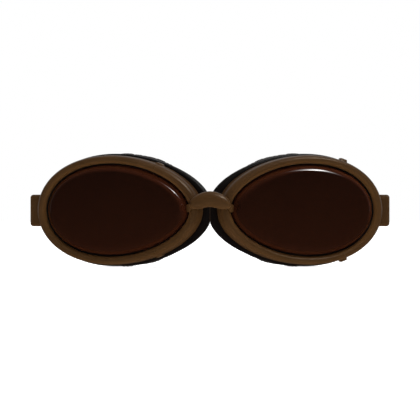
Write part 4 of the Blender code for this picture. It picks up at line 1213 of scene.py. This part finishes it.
def make_band(name, path, sizes, boxes=()):
    """A ribbed band on edge along a plan path, with a sewn box at each (place, heading)."""
    section = band_section()
    path = even_path(path, sizes.rib_pitch / 4)
    rings, marks, length = [], [], 0.0
    for k, point in enumerate(path):
        if k:
            length += (point - path[k - 1]).length
        along = (path[min(k + 1, len(path) - 1)] - path[max(k - 1, 0)]).normalized()
        across = Vector((-along.y, along.x))
        end_share = {0: 0.55, 1: 0.85}.get(min(k, len(path) - 1 - k), 1.0)
        rib = sizes.rib_height * (math.cos(math.tau * length / sizes.rib_pitch) - 1) / 2
        ring = []
        for thick, z in section:
            cut = rib if abs(z) < STRAP_HALF_WIDTH - 2 * SELVEDGE else rib * 0.4
            offset = math.copysign((abs(thick) + cut) * end_share, thick) if thick else 0.0
            ring.append(Vector((*(point + across * offset), z)))
            marks.append((length, z, 0.0))
        rings.append(ring)
    shape = Shape()
    shape.add_rings(rings, marks=marks)
    for place, heading in boxes:
        add_box_stitch(shape, place, heading, sizes)
    finishes = ("brown_strap", "sewing_thread") if boxes else ("brown_strap",)
    return make_piece(name, shape, finishes, math.radians(60))


def add_box_stitch(shape, place, heading, sizes):
    """A sewn box with its cross, on both faces of a doubled band; place is the box's near edge."""
    across = Vector((-heading.y, heading.x))
    far, half = BOX_STITCH_LENGTH, BOX_STITCH_WIDTH / 2
    corners = [(0, -half), (far, -half), (far, half), (0, half)]
    lines = [*zip(corners, corners[1:] + corners[:1]), (corners[0], corners[2]),
             (corners[1], corners[3])]
    for face in (1, -1):
        lifted = place + across * face * (STRAP_THICKNESS + THREAD_LIFT)
        for start, end in lines:
            count = max(2, round(math.dist(start, end) / sizes.stitch_pitch))
            for k in range(count):
                ends = []
                for share in ((k + 0.14) / count, (k + 0.86) / count):
                    distance, z = (a + (b - a) * share for a, b in zip(start, end))
                    ends.append(Vector((*(lifted + heading * distance), z)))
                shape.add_stitch(*ends, Vector((*(across * face), 0)), sizes.thread_radius)


def side_path(side, rear_offset):
    """The sewn loop at the lug, the run along the head and the rear corner."""
    pin, temple = Vector((side * STRAP_PIN_X, STRAP_PIN_Y)), Vector((side * TEMPLE[0], TEMPLE[1]))
    radius = STRAP_PIN_RADIUS + LOOP_CLEARANCE + STRAP_THICKNESS / 2
    heading = (temple - pin - Vector((0, radius))).normalized()
    aside = Vector((-heading.y, heading.x)) * side
    path = loop_path(pin, radius, heading, side)
    stem, run = radius + STEM_LENGTH, (temple - pin).length
    for k in range(1, 30):
        past = (run - stem) * k / 30
        offset = STRAP_THICKNESS / 2 * (1 - step_ease(past / 0.012))
        path.append(pin.lerp(temple, (stem + past) / run) + aside * offset)
    rear = Vector((side * REAR_HALF_RUN, REAR_Y + rear_offset))
    path += curve_points((temple, temple + heading * CORNER_PULL_SIDE,
                          rear + Vector((side * CORNER_PULL_REAR, 0)), rear), 90)
    return path, pin, (pin + heading * BOX_STITCH_START, heading)


def make_long_strap(sizes):
    """The long band: sewn to the left lug, round the head, through the ring and folded back."""
    path, pin, box = side_path(-1, LAYER_OFFSET)
    bar = Vector((RING_X - RING_HALF_LENGTH, REAR_Y))
    path += [bar + Vector((math.sin(k * math.pi / 24), math.cos(k * math.pi / 24))) * LAYER_OFFSET
             for k in range(25)]
    return make_band("strap_long", path, sizes, (box,)), pin


def make_short_strap(sizes):
    """The short band: sewn to the right lug and to the ring's near bar."""
    path, pin, box = side_path(1, 0)
    bar, heading = Vector((RING_X + RING_HALF_LENGTH, REAR_Y)), Vector((1, 0))
    stem = LAYER_OFFSET + STEM_LENGTH
    run = path[-1].x - (bar.x + stem)
    joined = [bar + Vector((stem + past, STRAP_THICKNESS / 2 * (1 - step_ease(past / 0.008))))
              for past in (run * k / 12 for k in range(11, 0, -1))]
    path += joined + loop_path(bar, LAYER_OFFSET, heading, 1)[::-1]
    ring_box = (bar + heading * BOX_STITCH_LENGTH, heading)
    return make_band("strap_short", path, sizes, (box, ring_box)), pin


def make_return_layer(sizes):
    """The layer folded back from the ring; its end is sewn down at the slider's middle bar."""
    start = Vector((RING_X - RING_HALF_LENGTH - 0.00002, REAR_Y - LAYER_OFFSET))
    ease_end = Vector((start.x - FOLD_EASE, RETURN_CENTRE))
    pull = Vector((FOLD_EASE / 2, 0))
    path = curve_points((start, start - pull, ease_end + pull, ease_end), 40)
    path.append(Vector((SLIDER_X - SLIDER_BAR / 2, RETURN_CENTRE)))
    return make_band("strap_return", path, sizes), start


def make_ring():
    """The rectangular wire ring that joins the two bands."""
    flat_x, flat_z = RING_HALF_LENGTH - RING_CORNER, RING_HALF_HEIGHT - RING_CORNER
    rings = []
    for corner, (sign_x, sign_z) in enumerate(((1, 1), (-1, 1), (-1, -1), (1, -1))):
        for k in range(13):
            turn = math.pi / 2 * (corner + k / 12)
            out = Vector((math.cos(turn), 0, math.sin(turn)))
            centre = Vector((RING_X + sign_x * flat_x, REAR_Y, sign_z * flat_z)) + out * RING_CORNER
            rings.append(circle(centre, out, Vector((0, 1, 0)), RING_WIRE, 24))
    shape = Shape()
    shape.add_rings(rings, closed=True)
    return make_piece("strap_ring", shape, ("dark_steel",))


def make_slider(sizes):
    """A formed box slider: outer bars over the long band, a middle bar under the folded end."""
    half_x, half_bar = SLIDER_LENGTH / 2, SLIDER_BAR / 2
    channel_z = STRAP_HALF_WIDTH + GAP
    window, window_z = half_x - SLIDER_BAR, channel_z - WELD
    inner_y = RETURN_CENTRE - STRAP_THICKNESS / 2 - GAP
    outer_y = REAR_Y + LAYER_OFFSET + STRAP_THICKNESS / 2 + GAP
    low, high = inner_y - SLIDER_WALL, outer_y + SLIDER_WALL

    def box(name, start, end, near, far, half_z):
        return block(name, (SLIDER_X + start, near, -half_z), (SLIDER_X + end, far, half_z))

    slider = box("strap_slider", -half_x, half_x, low, high, channel_z + SLIDER_WALL)
    soften(slider, sizes.edge_round * 2, 5, math.radians(30))
    settle(slider, [
        box("channel", -half_x - OVERRUN, half_x + OVERRUN, inner_y, outer_y, channel_z),
        box("outer_window", -window, window, outer_y - WELD, high + OVERRUN, window_z),
        box("left_window", -half_x - OVERRUN, -half_bar, low - OVERRUN, inner_y + WELD, window_z),
        box("right_window", half_bar, half_x + OVERRUN, low - OVERRUN, inner_y + WELD, window_z)])
    slider.data.materials.clear()
    slider.data.materials.append(bpy.data.materials["dark_steel_finish"])
    return slider


# Operators

def need(*names):
    """Stop plainly when a finish that an operator uses is missing."""
    for name in names:
        if f"{name}_finish" not in bpy.data.materials:
            raise RuntimeError(f"The finish {name} is missing; run Goggles: Finishes first")


class GOGGLES_OT_finishes(bpy.types.Operator):
    """Make the enamel, steel, glass, rubber, leather, webbing and thread"""

    bl_idname = "goggles.finishes"
    bl_label = "Finishes"

    def execute(self, context):
        colours = context.scene.goggles_colours
        for make in (make_enamel, make_steel, make_glass, make_leather, make_thread):
            make(colours)
        make_black("black_rubber", colours.rubber, 0.5, 1500.0, 0.00003)
        make_black("black_shell", colours.shell, 0.42, 1100.0, 0.00005)
        make_webbing(colours, context.scene.goggles_sizes)
        return {'FINISHED'}


class GOGGLES_OT_rims(bpy.types.Operator):
    """Make both split rims and their closing screws"""

    bl_idname = "goggles.rims"
    bl_label = "Rims and Closing Screws"

    def execute(self, context):
        need("bronze_enamel", "dark_steel")
        steps = context.scene.goggles_sizes.ring_steps
        for side, label in SIDE_NAMES.items():
            body = f"{label}_eyepiece"
            top = math.acos(-EAR_SPLIT_SHARES[side])
            bottom = math.tau - top
            for part, start, end in (("nose", bottom - math.tau, top), ("outer", top, bottom)):
                half = rim_half(f"{label}_rim_{part}", side, start, end, steps)
                seat_piece(half, body)
            for place, turn in (("top", top), ("bottom", bottom)):
                screw = make_closing_screw(f"{label}_rim_screw_{place}", side, turn)
                seat_piece(screw, body)
        return {'FINISHED'}


class GOGGLES_OT_lenses(bpy.types.Operator):
    """Make the domed lenses and their seals"""

    bl_idname = "goggles.lenses"
    bl_label = "Lenses and Seals"

    def execute(self, context):
        need("amber_lens", "black_rubber")
        steps = context.scene.goggles_sizes.ring_steps
        for side, label in SIDE_NAMES.items():
            body = f"{label}_eyepiece"
            seat_piece(make_lens(side, steps), body)
            seal = sweep(f"{label}_lens_seal", side, seal_section, "black_rubber", steps)
            seat_piece(seal, body)
        return {'FINISHED'}


class GOGGLES_OT_cups(bpy.types.Operator):
    """Make the eyecups and the face cushions"""

    bl_idname = "goggles.cups"
    bl_label = "Cups and Cushions"

    def execute(self, context):
        need("black_shell", "black_leather", "sewing_thread")
        sizes = context.scene.goggles_sizes
        padding = shape_cushion(sizes)
        for side, label in sorted(SIDE_NAMES.items(), reverse=True):
            body = f"{label}_eyepiece"
            cup = sweep(f"{label}_cup", side, cup_section, "black_shell", sizes.ring_steps,
                        math.radians(50))
            seat_piece(cup, body)
            for point in padding.points:
                point.x = side * abs(point.x)
            cushion = make_piece(f"{label}_cushion", padding, ("black_leather", "sewing_thread"),
                                 math.radians(70))
            seat_piece(cushion, body)
        return {'FINISHED'}


class GOGGLES_OT_hinges(bpy.types.Operator):
    """Make the bridge, its hinge pins and the saddles"""

    bl_idname = "goggles.hinges"
    bl_label = "Bridge and Hinges"

    def execute(self, context):
        need("bronze_enamel", "dark_steel")
        seat_piece(make_bridge(), "bridge_and_strap")
        low = bridge_bottom(HINGE_X) + HINGE_PIN_SUNK
        high = bridge_top(HINGE_X + HINGE_PIN_RADIUS) - HINGE_PIN_SUNK
        profile = pin_profile(HINGE_PIN_RADIUS, low, high, 0.00008)
        for side, label in SIDE_NAMES.items():
            saddle = make_saddle(side, context.scene.goggles_sizes)
            seat_piece(saddle, f"{label}_eyepiece")
            pin = turned(f"{label}_hinge_pin", profile, (side * HINGE_X, 0, 0), UP)
            seat_piece(pin, "bridge_and_strap")
        return {'FINISHED'}


class GOGGLES_OT_lugs(bpy.types.Operator):
    """Make the strap lugs, their rivets and the strap pins"""

    bl_idname = "goggles.lugs"
    bl_label = "Strap Lugs"

    def execute(self, context):
        need("bronze_enamel", "dark_steel")
        half = LUG_HALF_HEIGHT - GAP
        profile = pin_profile(STRAP_PIN_RADIUS, -half, half, 0.0001)
        for side, label in SIDE_NAMES.items():
            body = f"{label}_eyepiece"
            seat_piece(make_lug(side), body)
            for place, height in (("top", RIVET_HEIGHT), ("bottom", -RIVET_HEIGHT)):
                rivet = make_rivet(f"{label}_lug_rivet_{place}", side, height)
                seat_piece(rivet, body)
            pin = turned(f"{label}_lug_pin", profile, (side * STRAP_PIN_X, STRAP_PIN_Y, 0), UP)
            seat_piece(pin, body)
        return {'FINISHED'}


class GOGGLES_OT_strap(bpy.types.Operator):
    """Make the two bands, the folded layer, the ring and the slider"""

    bl_idname = "goggles.strap"
    bl_label = "Head Strap"

    def execute(self, context):
        need("brown_strap", "sewing_thread", "dark_steel", "bronze_enamel")
        sizes = context.scene.goggles_sizes
        for make, name, side in ((make_long_strap, "strap_long", -1),
                                 (make_short_strap, "strap_short", 1)):
            band, pin = make(sizes)
            start = Vector((side * BLEND_START[0], BLEND_START[1], 0)) + ORIGIN
            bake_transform(band)
            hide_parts(name)
        layer, start = make_return_layer(sizes)
        seat_piece(layer, "bridge_and_strap")
        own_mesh(layer)
        seat_piece(make_ring(), "bridge_and_strap")
        seat_piece(make_slider(sizes), "slider")
        return {'FINISHED'}


# Stage

def make_floor(scene, colour):
    """A pale floor: white to the camera except where the goggles shade it, dimmer in gloss."""
    finish = Finish("pale_floor", Roughness=0.9, Specular_IOR_Level=0.1)
    pale = finish.blend(finish.grain(60.0, 2.0), shade_of(colour, 0.98), shade_of(colour, 1.02))
    finish.set(finish.shader.inputs["Base Color"], pale)
    lit = finish.shader.outputs[0]
    away = finish.add("VectorMath", {0: finish.place}, "Value", operation='LENGTH')
    lift, depth = finish.stretch(away, 0.12, 0.6, 0.7, 0.95), finish.axis(finish.place, 1)
    glow, mirrored = (finish.add("Emission", {"Color": WHITE, "Strength": strength})
                      for strength in (lift, finish.stretch(depth, 0.1, 0.8, 0.03, 0.5)))
    lifted = finish.add("AddShader", {0: lit, 1: glow})
    mixed = finish.add("MixShader", {0: finish.camera_ray(), 1: lit, 2: lifted})
    mixed = finish.add("MixShader", {0: finish.mirror_ray(), 1: mixed, 2: mirrored})
    finish.set(finish.tree.nodes["Material Output"].inputs["Surface"], mixed)
    mesh = bpy.data.meshes.new("floor")
    mesh.from_pydata([(x * FLOOR_REACH, y * FLOOR_REACH, 0)
                      for x, y in ((-1, -1), (1, -1), (1, 1), (-1, 1))], [], [(0, 1, 2, 3)])
    mesh.materials.append(finish.material)
    floor = bpy.data.objects.new("floor", mesh)
    floor.location.z = -FLOOR_DROP
    floor.visible_shadow = False
    scene.collection.objects.link(floor)


def make_world(scene):
    """White behind the object, a dim room in front of it, plain light on everything."""
    scene.world = bpy.data.worlds.new("studio")
    scene.world.use_nodes = True
    sky = Nodes(scene.world.node_tree)
    facing = sky.axis(sky.add("TexCoord", {}, "Generated"), 1)
    room = sky.stretch(facing, 0.1, 0.9, 0.03, 0.5)
    light = sky.stretch(facing, -0.9, 0.1, 0.42, 0.8)
    level = sky.add("Mix", {0: sky.mirror_ray(), 2: light, 3: room})
    level = sky.add("Mix", {0: sky.camera_ray(), 2: level, 3: 1.0})
    background = sky.tree.nodes["Background"]
    sky.set(background.inputs["Color"], WHITE)
    sky.set(background.inputs["Strength"], level)


def add_softbox(scene, name, target, towards, along, distance, size, radiance, fade=0.0):
    """A rectangular lamp facing the target; one that fades towards its ends also shows in gloss."""
    lamp = bpy.data.lights.new(name, 'AREA')
    lamp.shape = 'RECTANGLE'
    lamp.size, lamp.size_y = size
    lamp.energy = radiance * math.pi * size[0] * size[1]
    if fade:
        lamp.use_nodes = True
        nodes = Nodes(lamp.node_tree)
        across = nodes.axis(nodes.add("NewGeometry", {}, "Parametric"), 0)
        off_middle = nodes.maths('ABSOLUTE', nodes.maths('SUBTRACT', across, 0.5))
        from_end = nodes.stretch(off_middle, 0.0, 0.5, 1.0, 0.0)
        nodes.set(nodes.tree.nodes["Emission"].inputs["Strength"],
                  nodes.maths('POWER', from_end, fade))
    thing = bpy.data.objects.new(name, lamp)
    scene.collection.objects.link(thing)
    towards = Vector(towards).normalized()
    across = towards.cross(along).normalized()
    axes = (across.cross(towards), across, towards, target + towards * distance)
    thing.matrix_world = Matrix([[axis[row] for axis in axes] for row in range(3)] + [[0, 0, 0, 1]])
    thing.visible_glossy = bool(fade)
    thing.visible_camera = False


class GOGGLES_OT_stage(bpy.types.Operator):
    """Set the floor, backdrop, lamps and camera"""

    bl_idname = "goggles.stage"
    bl_label = "Stage and Camera"

    def execute(self, context):
        scene = context.scene
        sizes = scene.goggles_sizes
        eye = Vector((0, ORIGIN.y, ORIGIN.z))
        make_floor(scene, scene.goggles_colours.floor)
        make_world(scene)

        # Lamps: a softbox high on the right draws the highlights; two wide ones fill from above
        # and from the table's side, and don't show in polished surfaces
        slant, level = Vector((0.87, -0.21, -0.45)), Vector((1, 0, 0))
        add_softbox(scene, "key", eye, (0.466, -0.148, 0.87), slant, 1.0, (1.1, 0.24), 40.0, 6.0)
        add_softbox(scene, "overhead", eye, (0.1, -0.3, 1), slant, 1.2, (1.3, 1.1), 2.2)
        add_softbox(scene, "table_light", eye, (0, -0.5, -1), level, 0.9, (1.2, 1.0), 4.2)

        camera = bpy.data.cameras.new("camera")
        camera.sensor_width = 36.0
        camera.lens = camera.sensor_width * sizes.camera_distance / sizes.view_width
        camera.clip_start, camera.clip_end = 0.01, 50.0
        thing = bpy.data.objects.new("camera", camera)
        thing.location = eye + Vector((0, EYE_PLANE - sizes.camera_distance, CAMERA_LIFT))
        thing.rotation_euler = (math.pi / 2, 0, 0)
        scene.collection.objects.link(thing)
        scene.camera = thing
        scene.view_settings.view_transform = 'Standard'
        return {'FINISHED'}


STEPS = (GOGGLES_OT_finishes, GOGGLES_OT_rims, GOGGLES_OT_lenses, GOGGLES_OT_cups,
         GOGGLES_OT_hinges, GOGGLES_OT_lugs, GOGGLES_OT_strap, GOGGLES_OT_stage)


class GOGGLES_PT_panel(bpy.types.Panel):
    """The goggles' settings and steps"""

    bl_idname = "GOGGLES_PT_panel"
    bl_label = "Pilot Goggles"
    bl_space_type = 'VIEW_3D'
    bl_region_type = 'UI'
    bl_category = "Goggles"

    def draw(self, context):
        for settings in (context.scene.goggles_sizes, context.scene.goggles_colours):
            box = self.layout.box()
            for name in settings.__annotations__:
                box.prop(settings, name)
        for step in STEPS:
            self.layout.operator(step.bl_idname)


CLASSES = (GogglesSizes, GogglesColours) + STEPS + (GOGGLES_PT_panel,)


def register():
    for made in CLASSES:
        bpy.utils.register_class(made)
    bpy.types.Scene.goggles_sizes = PointerProperty(type=GogglesSizes)
    bpy.types.Scene.goggles_colours = PointerProperty(type=GogglesColours)


def unregister():
    del bpy.types.Scene.goggles_colours
    del bpy.types.Scene.goggles_sizes
    for made in reversed(CLASSES):
        bpy.utils.unregister_class(made)


def main():
    register()
    bpy.ops.goggles.finishes()
    bpy.ops.goggles.rims()
    bpy.ops.goggles.lenses()
    bpy.ops.goggles.cups()
    bpy.ops.goggles.hinges()
    bpy.ops.goggles.lugs()
    bpy.ops.goggles.strap()
    bpy.ops.goggles.stage()


if __name__ == "__main__":
    main()
